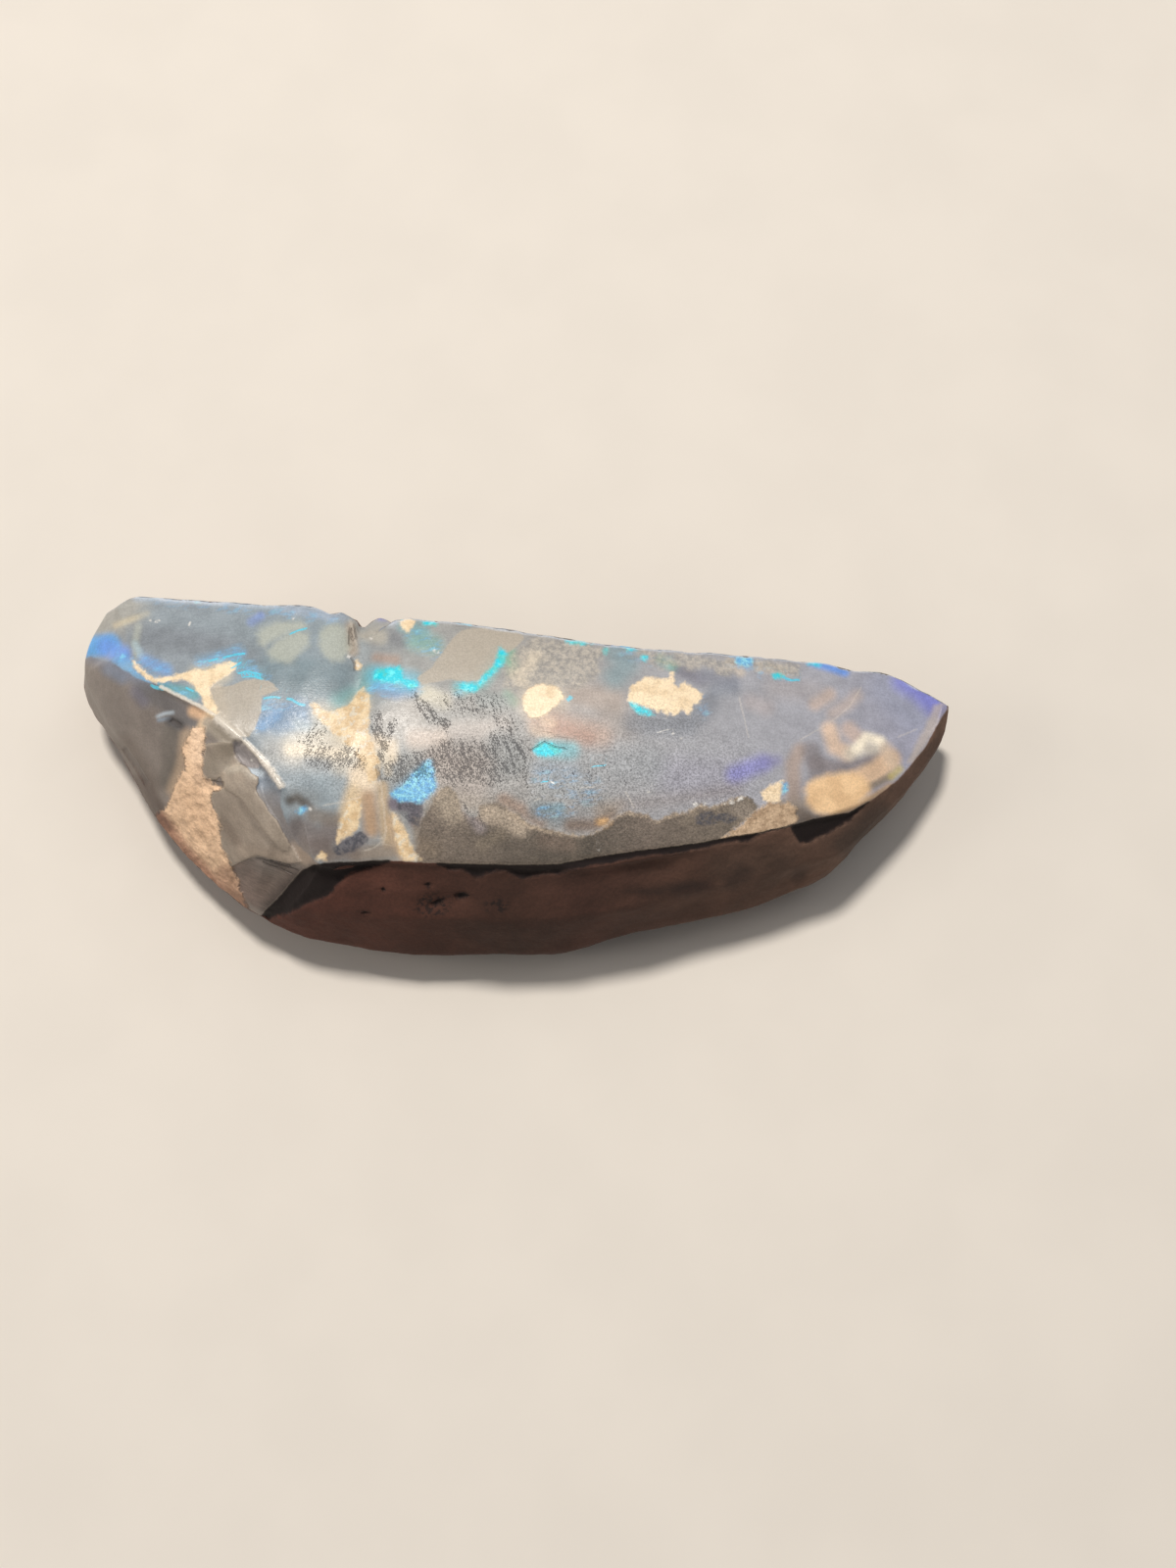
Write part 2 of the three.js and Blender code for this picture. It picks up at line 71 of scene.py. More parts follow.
# Markings with a clear edge, as outlines in picture pixels.
OUTLINES = {
    "cream": [
        # vein by the ridge
        [(134, 672), (142, 679), (151, 688), (159, 692), (172, 690), (186, 687), (199, 683), (210, 684),
         (224, 678), (236, 675), (242, 678), (240, 683), (230, 690), (220, 696), (214, 701), (215, 709),
         (219, 717), (223, 727), (218, 733), (211, 726), (207, 714), (201, 705), (196, 697), (185, 693),
         (167, 696), (156, 697), (146, 690), (137, 681)],
        # chip at the back edge
        [(403, 628), (416, 630), (425, 633), (421, 640), (417, 647), (411, 642)],
        # scalloped inclusion
        [(640, 714), (644, 699), (652, 695), (660, 690), (668, 692), (676, 693), (682, 692), (684, 686),
         (688, 686), (687, 698), (692, 701), (698, 696), (704, 699), (711, 704), (717, 709), (714, 717),
         (708, 718), (706, 727), (703, 731), (699, 727), (696, 723), (692, 728), (688, 730), (685, 727),
         (682, 731), (678, 727), (674, 724), (671, 728), (667, 724), (660, 721), (652, 719), (645, 717)],
        # round inclusion
        [(533, 712), (540, 702), (550, 698), (562, 699), (572, 704), (576, 712), (568, 719), (560, 727),
         (550, 733), (540, 732), (534, 724)],
        # patch by the long edge
        [(776, 808), (786, 801), (799, 796), (799, 802), (797, 808), (796, 818), (788, 819), (780, 816)],
    ],
    "golden": [
        # fan beside the crack
        [(315, 717), (322, 717), (333, 726), (346, 724), (356, 719), (364, 709), (370, 701), (377, 709),
         (377, 725), (376, 748), (384, 768), (388, 782), (384, 800), (376, 800), (372, 780), (358, 764),
         (346, 752), (333, 742), (321, 728)],
        # patch below the crack
        [(356, 818), (368, 814), (368, 830), (365, 847), (352, 855), (343, 861), (344, 851), (348, 835)],
        # wedge right of the crack
        [(398, 826), (409, 839), (416, 851), (422, 867), (430, 878), (411, 880), (405, 863), (402, 845)],
        # crust at the foot of the crack
        [(322, 877), (328, 868), (334, 871), (333, 878)],
        # lit facet of the notch
        [(361, 676), (366, 674), (369, 679), (368, 684), (363, 684)],
    ],
    "crumbly": [
        # band across the slanting facet
        [(197, 742), (209, 742), (210, 756), (207, 774), (208, 792), (217, 799), (228, 803), (215, 811),
         (217, 822), (224, 834), (226, 845), (225, 859), (233, 873), (237, 884), (241, 896), (248, 914),
         (256, 932), (246, 936), (216, 912), (186, 878), (166, 850), (158, 832), (168, 826), (173, 815),
         (181, 797), (190, 783), (186, 765), (192, 751)],
    ],
    "crust": [
        # patch by the long edge
        [(738, 856), (748, 847), (758, 840), (768, 832), (776, 824), (786, 818), (796, 820), (806, 818),
         (812, 826), (814, 836), (808, 842), (784, 850), (752, 858)],
    ],
    "orange": [
        # lobe near the tip
        [(821, 807), (824, 800), (832, 794), (845, 790), (858, 788), (870, 788), (880, 792), (886, 798),
         (888, 806), (884, 814), (872, 824), (858, 829), (845, 832), (832, 829), (824, 819)],
    ],
    "stone_grey": [
        # patch by the ridge
        [(213, 702), (233, 700), (250, 694), (266, 692), (277, 696), (284, 704), (275, 708), (267, 710),
         (267, 724), (263, 737), (254, 753), (243, 751), (229, 740), (219, 730), (215, 714)],
        # patch by the back edge
        [(426, 691), (440, 682), (451, 666), (463, 649), (473, 642), (490, 640), (508, 640), (531, 645),
         (535, 651), (527, 660), (518, 666), (510, 668), (500, 684), (488, 695), (473, 695), (459, 693),
         (440, 697), (430, 699)],
    ],
    "olive": [
        [(262, 647), (268, 640), (276, 636), (290, 634), (306, 633), (313, 638), (311, 644), (296, 646),
         (286, 650), (276, 655), (270, 660), (264, 657)],
        [(279, 657), (286, 651), (296, 647), (306, 645), (315, 646), (315, 658), (308, 664), (303, 672),
         (296, 676), (284, 676), (276, 672), (273, 664)],
        [(326, 645), (332, 638), (345, 637), (353, 641), (356, 652), (356, 664), (350, 673), (338, 675),
         (329, 668), (325, 656)],
    ],
    "mottled": [
        # field by the back edge
        [(520, 672), (535, 655), (548, 650), (575, 654), (600, 657), (618, 662), (610, 674), (614, 684),
         (600, 696), (588, 706), (575, 700), (560, 695), (540, 698), (530, 706), (514, 702), (516, 686)],
        # strip along the back edge
        [(652, 664), (680, 666), (720, 670), (770, 673), (815, 679), (815, 692), (800, 690), (785, 684),
         (770, 682), (752, 680), (744, 692), (734, 688), (722, 680), (706, 682), (690, 680), (676, 684),
         (664, 678)],
    ],
    "potch": [
        # strip above the long edge
        [(424, 876), (427, 852), (430, 838), (436, 826), (443, 814), (450, 804), (459, 802), (466, 811),
         (471, 822), (477, 831), (484, 836), (488, 828), (491, 822), (500, 820), (507, 818), (514, 821),
         (521, 827), (529, 831), (537, 838), (546, 843), (560, 845), (570, 848), (579, 851), (597, 852),
         (606, 850), (613, 847), (620, 841), (627, 834), (636, 829), (649, 829), (662, 831), (669, 838),
         (679, 833), (691, 829), (703, 828), (711, 820), (723, 823), (737, 819), (750, 814), (762, 811),
         (775, 822), (765, 835), (750, 846), (742, 853), (760, 880), (640, 910), (500, 910), (430, 900)],
    ],
    "dark_pits": [
        # glossy pits in the potch
        [(709, 834), (714, 830), (724, 828), (730, 832), (737, 829), (745, 830), (752, 835), (746, 841),
         (736, 838), (722, 843), (710, 842)],
        # left of the wedge
        [(402, 817), (416, 819), (430, 819), (431, 830), (427, 846), (417, 838), (408, 830)],
        # foot of the crack
        [(339, 866), (350, 858), (360, 852), (370, 848), (375, 852), (374, 860), (364, 867), (350, 872),
         (341, 872)],
    ],
    "azure": [
        # right of the crack
        [(398, 809), (411, 802), (422, 788), (434, 777), (441, 774), (443, 790), (447, 803), (438, 812),
         (430, 820), (418, 818), (406, 818)],
        # back edge
        [(750, 677), (752, 671), (762, 668), (769, 671), (768, 679), (757, 680)],
        # glint in the hollow
        [(302, 829), (306, 824), (312, 822), (313, 826), (308, 830)],
        # by the cream patch
        [(798, 799), (803, 799), (804, 807), (799, 810)],
    ],
    "cyan": [
        # patch at the crack
        [(381, 687), (384, 683), (396, 681), (409, 680), (411, 686), (411, 692), (426, 696), (426, 701),
         (418, 703), (409, 697), (391, 696), (381, 693)],
        # hooked stroke
        [(465, 700), (473, 697), (486, 698), (494, 688), (506, 676), (508, 664), (512, 660), (516, 667),
         (514, 678), (504, 686), (494, 697), (486, 706), (475, 705)],
        # under the pink cloud
        [(544, 764), (550, 759), (557, 757), (563, 758), (568, 763), (576, 765), (568, 770), (556, 772),
         (547, 770)],
        # foot of the scalloped inclusion
        [(642, 715), (650, 719), (660, 724), (669, 729), (660, 730), (650, 727), (645, 721)],
        # glints along the back edge
        [(577, 650), (591, 652), (605, 656), (594, 658), (579, 656)],
        [(637, 658), (648, 657), (650, 663), (640, 664)],
        [(823, 672), (838, 677), (836, 680), (824, 677)],
        [(430, 632), (446, 634), (446, 638), (432, 637)],
        [(615, 664), (618, 661), (621, 664), (618, 667)],
        [(654, 671), (658, 668), (662, 671), (658, 675)],
        [(788, 688), (795, 686), (800, 690), (796, 693), (789, 692)],
        [(198, 609), (206, 608), (206, 613), (199, 614)],
    ],
    "plates": [
        # large plate
        [(226, 792), (233, 785), (240, 781), (247, 780), (252, 783), (258, 790), (265, 793), (264, 800),
         (261, 806), (265, 812), (270, 819), (276, 829), (284, 838), (289, 849), (295, 858), (301, 866),
         (308, 880), (295, 881), (279, 877), (265, 873), (257, 875), (247, 879), (237, 884), (232, 878),
         (228, 868), (225, 850), (223, 832), (218, 820), (215, 810), (228, 804)],
        # small plate
        [(210, 759), (225, 757), (238, 757), (239, 768), (246, 778), (240, 781), (233, 785), (227, 792),
         (221, 796), (208, 795), (207, 783), (209, 770)],
    ],
    "raised_plates": [
        # cap of the large plate and the strip along its right edge
        [(226, 801), (228, 791), (236, 783), (247, 780), (252, 783), (258, 790), (265, 794), (267, 804),
         (271, 815), (277, 827), (284, 838), (290, 849), (297, 861), (296, 868), (288, 868), (278, 857),
         (266, 841), (255, 825), (246, 814), (236, 808)],
    ],
    "scratched_step": [
        [(236, 886), (247, 880), (257, 876), (265, 874), (279, 878), (295, 882), (310, 883), (326, 884),
         (306, 912), (286, 936), (262, 926), (244, 906)],
    ],
    "scoop": [
        [(238, 757), (242, 754), (247, 755), (252, 760), (260, 769), (265, 776), (264, 784), (256, 784),
         (248, 780), (243, 776), (239, 768)],
    ],
    "facet": [
        [(60, 690), (92, 670), (118, 678), (140, 692), (158, 698), (182, 709), (206, 722), (223, 732),
         (247, 753), (261, 766), (273, 779), (282, 791), (289, 804), (286, 818), (292, 838), (304, 862),
         (330, 886), (310, 920), (290, 960), (240, 960), (180, 900), (120, 840), (70, 760)],
    ],
    # A painted highlight along the bevelled edge at the tip.
    "tip_bevel_highlight": [
        [(964, 716), (956, 742), (946, 758), (934, 778), (926, 778), (934, 760), (944, 742), (953, 720)],
    ],
    "upper": [
        # the ground face and the slanting facet with the lit strip below it, as against the walls, which are
        # darkened as painted shade
        [(60, 700), (70, 655), (90, 620), (118, 600), (136, 590), (400, 600), (700, 640), (900, 670),
         (975, 712), (962, 730), (943, 764), (919, 793), (890, 816), (867, 829), (830, 836), (805, 843),
         (775, 850), (747, 854), (717, 860), (680, 865), (647, 869), (620, 873), (592, 878), (570, 882),
         (530, 883), (480, 882), (447, 881), (400, 878), (360, 880), (340, 880), (320, 883), (307, 889),
         (299, 898), (290, 909), (281, 919), (270, 930), (250, 960), (180, 920), (120, 860), (60, 780)],
    ],
    # The dark seam under the long edge is partly dark stone and partly painted shadow; its wide ends are
    # painted shadow. Pits of the wall come last.
    "dark_seam_and_shadow": [
        # under the long edge
        [(440, 878), (448, 884), (458, 889), (472, 889), (480, 893), (486, 898), (494, 894), (506, 890),
         (517, 890), (526, 894), (535, 897), (546, 894), (559, 892), (570, 893), (582, 888), (605, 883),
         (627, 880), (645, 876), (670, 872), (695, 871), (717, 866), (745, 859), (765, 859), (776, 851),
         (790, 848), (808, 843), (808, 830), (700, 850), (590, 868), (500, 872)],
        # its left end
        [(256, 942), (262, 920), (290, 892), (318, 872), (400, 868), (398, 881), (379, 886), (357, 892),
         (345, 903), (336, 914), (318, 921), (290, 935)],
        # its right end
        [(807, 842), (839, 828), (878, 815), (890, 809), (886, 820), (868, 838), (850, 849), (828, 860),
         (818, 862), (811, 853)],
        # pits of the wall
        [(440, 922), (446, 918), (454, 917), (450, 922), (444, 926)],
        [(463, 913), (472, 910), (479, 914), (471, 919), (465, 917)],
        [(433, 903), (437, 901), (441, 903), (437, 906)],
        [(368, 932), (373, 930), (378, 932), (373, 935)],
        [(388, 908), (391, 906), (394, 909), (390, 911)],
    ],
    "pocked": [
        [(422, 926), (428, 916), (442, 912), (456, 914), (464, 918), (460, 928), (446, 936), (430, 936)],
        [(495, 922), (506, 915), (518, 918), (520, 926), (508, 932), (496, 930)],
    ],
    "smudged": [
        [(738, 902), (746, 888), (760, 882), (768, 890), (760, 900), (748, 908)],
        [(806, 896), (812, 886), (824, 886), (822, 896), (812, 900)],
        [(640, 908), (690, 900), (720, 902), (700, 912), (660, 916)],
    ],
}

# Painted glints: small bright points of painted highlight where the gloss catches the light; both ends in
# picture pixels and the width.
PAINTED_GLINT_SPOTS = [
    (671, 747, 671, 748, 3.2), (683, 743, 683, 744, 3.2), (686, 748, 687, 749, 2.6),
    (695, 753, 695, 754, 2.6), (652, 733, 653, 733, 2.2), (679, 733, 680, 733, 2.0),
    (153, 633, 154, 633, 2.2), (158, 634, 159, 635, 2.0), (162, 633, 163, 633, 2.2),
    (194, 635, 193, 638, 2.0), (316, 824, 317, 827, 3.2), (299, 631, 300, 632, 2.6),
    (254, 776, 255, 777, 2.0), (661, 808, 663, 809, 2.4), (354, 669, 357, 671, 3.0),
    (364, 678, 366, 680, 3.0), (378, 651, 379, 652, 2.6), (442, 664, 444, 663, 2.4),
    (447, 666, 448, 665, 2.2), (560, 797, 567, 800, 1.6), (610, 867, 611, 867, 2.6),
    (708, 822, 711, 820, 4.0), (717, 820, 721, 821, 4.0), (737, 820, 741, 818, 4.0),
    (746, 819, 749, 819, 3.6), (754, 815, 758, 814, 4.0),
]
# Thin markings: a route in picture pixels and the width there.
LINES = {
    "cyan_lines": [
        ([(154, 699), (160, 702), (168, 703)], 3.2),
        ([(190, 702), (197, 705)], 2.0),
        ([(213, 675), (222, 672)], 1.8),
        ([(228, 671), (240, 668), (250, 667)], 2.0),
        ([(236, 682), (246, 676)], 1.6),
        ([(243, 687), (252, 685), (266, 688)], 1.8),
        ([(248, 691), (258, 690), (268, 693)], 1.8),
        ([(269, 713), (277, 711), (286, 712)], 2.0),
        ([(292, 713), (298, 714), (304, 718), (311, 720)], 2.6),
        ([(296, 647), (305, 643), (313, 641)], 1.8),
        ([(579, 715), (583, 711)], 4.0),
        ([(465, 634), (481, 638)], 2.5),
        ([(552, 798), (560, 797)], 1.5),
        ([(604, 782), (618, 781)], 1.2),
        ([(798, 690), (806, 694), (816, 694)], 2.4),
    ],
    "painted_glints": [([(ax, ay), (bx, by)], width) for ax, ay, bx, by, width in PAINTED_GLINT_SPOTS],
    "hairs": [
        ([(388, 797), (390, 812), (392, 830), (394, 847), (391, 861)], 2.5),
        ([(357, 632), (361, 645), (364, 660)], 2.5),
        ([(754, 711), (759, 732), (764, 753)], 1.6),
        ([(638, 807), (648, 826)], 1.6),
        ([(816, 755), (845, 739), (866, 722), (879, 701)], 1.6),
        ([(722, 665), (771, 669), (830, 676)], 2.0),
        ([(330, 822), (352, 818), (368, 813)], 2.0),
        ([(372, 868), (384, 864), (392, 856)], 2.0),
        ([(545, 817), (552, 813)], 2.0),
        ([(592, 804), (606, 803)], 1.6),
        ([(916, 752), (936, 744)], 2.0),
    ],
    # Grooves cut into the relief; their dark colour is painted shade.
    "grooves": [
        ([(384, 781), (388, 797)], 3.0),
        ([(362, 638), (364, 652)], 2.5),
        ([(357, 640), (356, 658)], 1.6),
        ([(359, 671), (362, 677), (362, 684)], 2.5),
        ([(211, 797), (220, 800), (229, 800)], 5.0),
        ([(262, 876), (280, 881), (304, 889)], 1.4),
        ([(268, 881), (284, 886), (298, 893)], 1.2),
        ([(276, 878), (296, 884)], 1.0),
        ([(127, 764), (138, 780), (150, 800)], 5.0),
        ([(175, 735), (184, 741)], 5.0),
        ([(541, 766), (556, 757), (566, 762), (578, 764)], 1.5),
    ],
    # The ridge's routes carry its raised bead and also a painted highlight along it.
    "ridge": [
        ([(221, 731), (234, 742), (247, 754)], 9.0),
        ([(245, 753), (260, 767), (273, 780), (281, 791), (289, 804)], 6.0),
        ([(164, 700), (180, 708), (204, 720), (222, 731)], 3.0),
    ],
    "crust_rim": [
        ([(516, 826), (530, 837), (548, 845), (571, 850), (590, 852), (606, 849), (616, 842), (626, 833),
          (638, 829)], 6.0),
        ([(638, 829), (650, 830), (664, 832), (669, 838), (680, 833), (692, 829), (703, 828)], 6.0),
        ([(703, 828), (712, 820), (722, 822), (736, 819), (748, 815), (760, 812)], 7.0),
    ],
}
# The chipped back edge, as two such lines.
BACK_EDGE = [
    ([(104, 616), (118, 607), (160, 607), (250, 614), (345, 628)], 12.0),
    ([(398, 630), (480, 638), (600, 652), (700, 661), (820, 676), (900, 688), (960, 718)], 12.0),
]

# Soft colour that lies in the stone, with some clouds of painted highlight and painted shade among it,
# marked where they stand.
# Each cloud is a route in picture pixels, how far the full colour reaches, over how many more pixels it
# fades, the colour, and how strongly it covers.
OPAL_CLOUDS = [
    # blunt end and back edge
    ([(106, 636), (136, 618)], 10, 20, (178, 172, 160), 0.6),
    ([(140, 610), (210, 613), (280, 619), (340, 630)], 1, 7, (176, 190, 206), 0.8),
    ([(256, 635), (266, 629)], 2.5, 5, (118, 146, 224), 0.75),
    ([(118, 638), (134, 632), (150, 626)], 1.5, 4, (208, 196, 170), 0.75),
    ([(145, 652), (200, 655), (262, 668)], 8, 14, (122, 126, 132), 0.6),
    ([(150, 626), (220, 636), (300, 634)], 5, 12, (148, 158, 165), 0.5),
    ([(141, 640), (138, 655), (138, 668)], 2, 5, (180, 182, 170), 0.55),
    ([(138, 657), (143, 668)], 2, 4, (168, 190, 200), 0.6),
    # round the vein
    ([(90, 660), (112, 657)], 8, 7, (88, 164, 226), 0.95),
    ([(108, 660), (124, 668)], 6, 9, (104, 150, 232), 0.8),
    ([(124, 676), (140, 690), (156, 700)], 4, 9, (122, 176, 218), 0.75),
    ([(148, 674), (156, 678), (170, 684)], 3, 8, (116, 160, 216), 0.65),
    ([(205, 676), (245, 665)], 3, 8, (112, 168, 206), 0.45),
    ([(245, 678), (268, 690)], 3, 9, (110, 174, 198), 0.5),
    ([(166, 702), (198, 708)], 4, 6, (92, 160, 168), 0.75),
    ([(214, 722), (218, 734)], 4, 6, (222, 200, 170), 0.7),
    ([(205, 690), (225, 686)], 9, 10, (214, 196, 164), 0.5),
    ([(222, 706), (228, 728)], 4, 8, (222, 204, 178), 0.8),
    # between the ridge and the crack
    ([(280, 684), (350, 696)], 14, 16, (112, 130, 138), 0.7),
    ([(250, 650), (262, 660)], 8, 12, (136, 146, 152), 0.5),
    ([(290, 620), (350, 628)], 3, 7, (150, 160, 176), 0.5),
    ([(268, 732), (284, 734), (304, 728)], 10, 12, (112, 138, 166), 0.85),
    ([(268, 740), (282, 730)], 3, 7, (92, 150, 204), 0.5),
    ([(376, 690), (370, 705), (345, 716)], 4, 12, (120, 182, 178), 0.45),
    ([(328, 728), (352, 740), (368, 720)], 7, 12, (216, 200, 172), 0.5),
    # Painted highlight: the clouds at (300, 764), (280, 768) and (296, 765) are the glare of the gloss
    # between the pits.
    ([(300, 764), (326, 756), (352, 776)], 8, 14, (234, 220, 196), 0.75),
    ([(352, 752), (376, 772)], 8, 12, (224, 204, 170), 0.6),
    ([(280, 768), (350, 772)], 10, 16, (200, 196, 190), 0.55),
    ([(296, 765), (326, 767), (356, 769)], 3, 7, (242, 228, 206), 0.85),
    ([(314, 777), (332, 781)], 3, 7, (152, 156, 160), 0.6),
    ([(304, 738), (312, 742)], 3, 6, (168, 182, 188), 0.6),
    ([(376, 780), (364, 806), (354, 836)], 7, 9, (216, 188, 146), 0.8),
    ([(364, 790), (378, 802)], 6, 8, (236, 216, 190), 0.8),
    ([(376, 814), (379, 846)], 5, 9, (180, 147, 115), 0.9),
    ([(390, 802), (392, 830), (396, 860)], 4, 5, (192, 168, 136), 0.85),
    ([(286, 872), (330, 866)], 8, 14, (122, 108, 98), 0.8),
    ([(366, 872), (398, 868)], 6, 9, (146, 130, 114), 0.8),
    ([(336, 874), (360, 872)], 5, 8, (120, 108, 100), 0.85),
    ([(352, 860), (368, 856)], 5, 8, (122, 114, 118), 0.7),
    ([(304, 846), (326, 857), (336, 850)], 10, 12, (114, 103, 99), 0.85),
    ([(300, 812), (318, 816)], 5, 12, (128, 130, 130), 0.6),
    # Painted shade in the hollow, dark above its blue glint and beside it.
    ([(296, 817), (303, 814), (310, 819)], 2.5, 6, (84, 78, 72), 0.9),
    ([(313, 819), (318, 823)], 1, 4, (96, 90, 86), 0.7),
    ([(320, 832), (342, 836)], 5, 8, (122, 110, 99), 0.75),
    ([(358, 640), (360, 664)], 4, 6, (172, 156, 138), 0.8),
    # right of the crack
    ([(388, 652), (404, 650)], 9, 10, (146, 148, 150), 0.85),
    ([(372, 646), (388, 650)], 5, 8, (178, 172, 160), 0.75),
    ([(402, 650), (410, 656)], 3, 7, (126, 128, 132), 0.7),
    ([(384, 671), (404, 673)], 2, 7, (172, 150, 138), 0.85),
    ([(388, 634), (402, 632)], 1.5, 5, (96, 108, 206), 0.85),
    ([(424, 654), (442, 658)], 5, 12, (124, 176, 168), 0.65),
    ([(412, 638), (432, 644)], 4, 8, (118, 172, 178), 0.6),
    ([(386, 700), (404, 707), (420, 704)], 3, 9, (88, 148, 208), 0.55),
    ([(384, 690), (420, 696)], 7, 11, (92, 188, 214), 0.6),
    ([(470, 702), (492, 694), (510, 668)], 5, 9, (108, 190, 190), 0.6),
    ([(521, 668), (524, 684)], 3, 8, (120, 188, 150), 0.6),
    ([(526, 688), (533, 696)], 3, 7, (212, 196, 170), 0.8),
    ([(532, 690), (546, 670)], 4, 8, (250, 232, 204), 0.9),
    ([(434, 708), (452, 716)], 6, 8, (216, 208, 186), 0.7),
    ([(384, 756), (398, 760), (398, 772)], 5, 8, (236, 216, 188), 0.8),
    ([(518, 710), (524, 716)], 3, 7, (150, 200, 170), 0.5),
    ([(494, 714), (512, 716)], 5, 9, (134, 152, 154), 0.6),
    ([(410, 810), (436, 786)], 6, 9, (108, 170, 206), 0.6),
    # Painted sheen: the next four clouds lay the broad highlight right of the crack, and the darker one at
    # (450, 728) is painted shade above it.
    ([(396, 738), (420, 730)], 12, 16, (184, 176, 168), 0.6),
    ([(450, 728), (516, 724)], 12, 16, (140, 136, 131), 0.45),
    ([(424, 754), (450, 753)], 6, 12, (218, 200, 186), 0.7),
    ([(466, 747), (512, 744)], 6, 12, (184, 174, 167), 0.75),
    ([(450, 772), (500, 770)], 10, 12, (158, 147, 140), 0.6),
    ([(450, 784), (480, 800)], 14, 20, (170, 158, 150), 0.7),
    ([(512, 760), (524, 776)], 12, 14, (148, 150, 150), 0.75),
    ([(393, 770), (396, 788)], 2.5, 5, (224, 212, 192), 0.8),
    ([(402, 820), (424, 822), (424, 838)], 5, 6, (106, 96, 108), 0.9),
    ([(400, 838), (414, 874)], 5, 7, (196, 166, 132), 0.75),
    ([(425, 838), (428, 868)], 3, 6, (136, 122, 107), 0.8),
    ([(432, 838), (444, 820)], 4, 8, (142, 132, 122), 0.6),
    ([(456, 812), (480, 820), (512, 824)], 5, 12, (160, 148, 136), 0.6),
    # round the inclusions
    ([(548, 716), (560, 714)], 17, 10, (206, 190, 168), 0.5),
    ([(548, 742), (562, 746)], 5, 8, (214, 192, 168), 0.8),
    ([(590, 708), (626, 716)], 8, 14, (172, 156, 145), 0.75),
    ([(553, 733), (584, 743), (612, 750)], 9, 15, (174, 149, 135), 0.85),
    ([(567, 740), (584, 747), (600, 752)], 4, 11, (168, 131, 115), 0.7),
    ([(556, 735), (563, 738)], 3, 6, (218, 190, 164), 0.7),
    ([(622, 728), (640, 742)], 8, 14, (146, 134, 126), 0.6),
    ([(630, 668), (640, 678), (628, 690)], 7, 14, (120, 150, 158), 0.6),
    ([(674, 673), (688, 680)], 3, 6, (104, 172, 146), 0.7),
    ([(648, 738), (700, 740), (722, 718)], 7, 14, (116, 121, 130), 0.65),
    ([(694, 684), (714, 694)], 4, 8, (122, 120, 132), 0.75),
    ([(720, 690), (748, 696)], 4, 9, (134, 136, 148), 0.7),
    ([(730, 704), (748, 702)], 4, 10, (130, 136, 148), 0.6),
    ([(556, 826), (572, 824)], 3, 5, (108, 158, 178), 0.7),
    ([(556, 800), (592, 806)], 8, 14, (150, 160, 166), 0.4),
    ([(590, 822), (616, 818)], 6, 12, (134, 134, 134), 0.7),
    ([(514, 816), (532, 826), (552, 838)], 4, 8, (148, 124, 108), 0.8),
    ([(548, 826), (570, 834)], 6, 10, (118, 130, 136), 0.7),
    ([(582, 842), (606, 842), (624, 831)], 4, 8, (118, 100, 87), 0.85),
    ([(612, 839), (618, 838)], 2, 5, (208, 164, 110), 0.85),
    ([(556, 764), (582, 766)], 6, 9, (96, 194, 208), 0.6),
    # towards the tip
    ([(690, 792), (742, 796)], 12, 22, (152, 150, 164), 0.6),
    ([(600, 784), (660, 780)], 12, 22, (142, 147, 152), 0.5),
    ([(552, 784), (580, 786)], 6, 12, (142, 156, 170), 0.5),
    ([(750, 790), (764, 784), (778, 779)], 5, 11, (127, 126, 200), 0.65),
    ([(782, 778), (792, 776)], 3, 8, (130, 127, 178), 0.5),
    ([(612, 826), (632, 822)], 4, 9, (144, 130, 116), 0.6),
    ([(640, 822), (690, 816), (750, 806)], 2, 14, (144, 134, 132), 0.5),
    ([(816, 766), (809, 780), (810, 812)], 5, 8, (170, 151, 140), 0.85),
    ([(800, 824), (826, 822)], 5, 10, (146, 132, 118), 0.8),
    ([(812, 829), (824, 833)], 4, 6, (104, 92, 82), 0.85),
    ([(812, 840), (838, 835)], 4, 7, (100, 88, 78), 0.85),
    ([(828, 766), (832, 782), (834, 792)], 6, 9, (136, 129, 131), 0.8),
    ([(832, 778), (852, 784), (880, 780), (892, 772)], 5, 7, (134, 126, 128), 0.85),
    ([(866, 744), (874, 752)], 5, 8, (214, 188, 172), 0.7),
    ([(846, 744), (852, 762), (864, 768)], 5, 8, (226, 196, 170), 0.85),
    ([(868, 769), (880, 764), (898, 762)], 4, 8, (214, 204, 188), 0.8),
    ([(874, 764), (884, 752), (898, 756)], 3, 6, (250, 238, 216), 0.9),
    ([(872, 798), (896, 786), (908, 775)], 8, 8, (222, 188, 154), 0.9),
    ([(910, 776), (904, 764)], 4, 8, (212, 190, 168), 0.7),
    ([(886, 804), (898, 798), (908, 793)], 2.5, 4, (124, 112, 96), 0.8),
    ([(910, 792), (918, 785)], 2, 5, (206, 188, 118), 0.7),
    ([(850, 831), (874, 823), (892, 813), (908, 803)], 2.5, 5, (172, 138, 94), 0.8),
    ([(832, 718), (846, 709)], 4, 8, (204, 180, 164), 0.7),
    ([(850, 728), (866, 718), (874, 710)], 3, 9, (194, 176, 166), 0.65),
    ([(766, 716), (782, 722)], 5, 10, (174, 164, 164), 0.6),
    ([(905, 700), (932, 730)], 12, 18, (156, 160, 180), 0.6),
    ([(922, 694), (938, 704), (954, 719)], 6, 14, (120, 124, 216), 0.75),
    ([(828, 675), (844, 680), (862, 686)], 2, 6, (98, 150, 232), 0.85),
    ([(790, 702), (830, 706)], 6, 14, (170, 162, 162), 0.5),
    ([(745, 676), (756, 686)], 3, 5, (206, 188, 164), 0.5),
    ([(776, 680), (800, 684)], 4, 5, (200, 188, 170), 0.6),
]
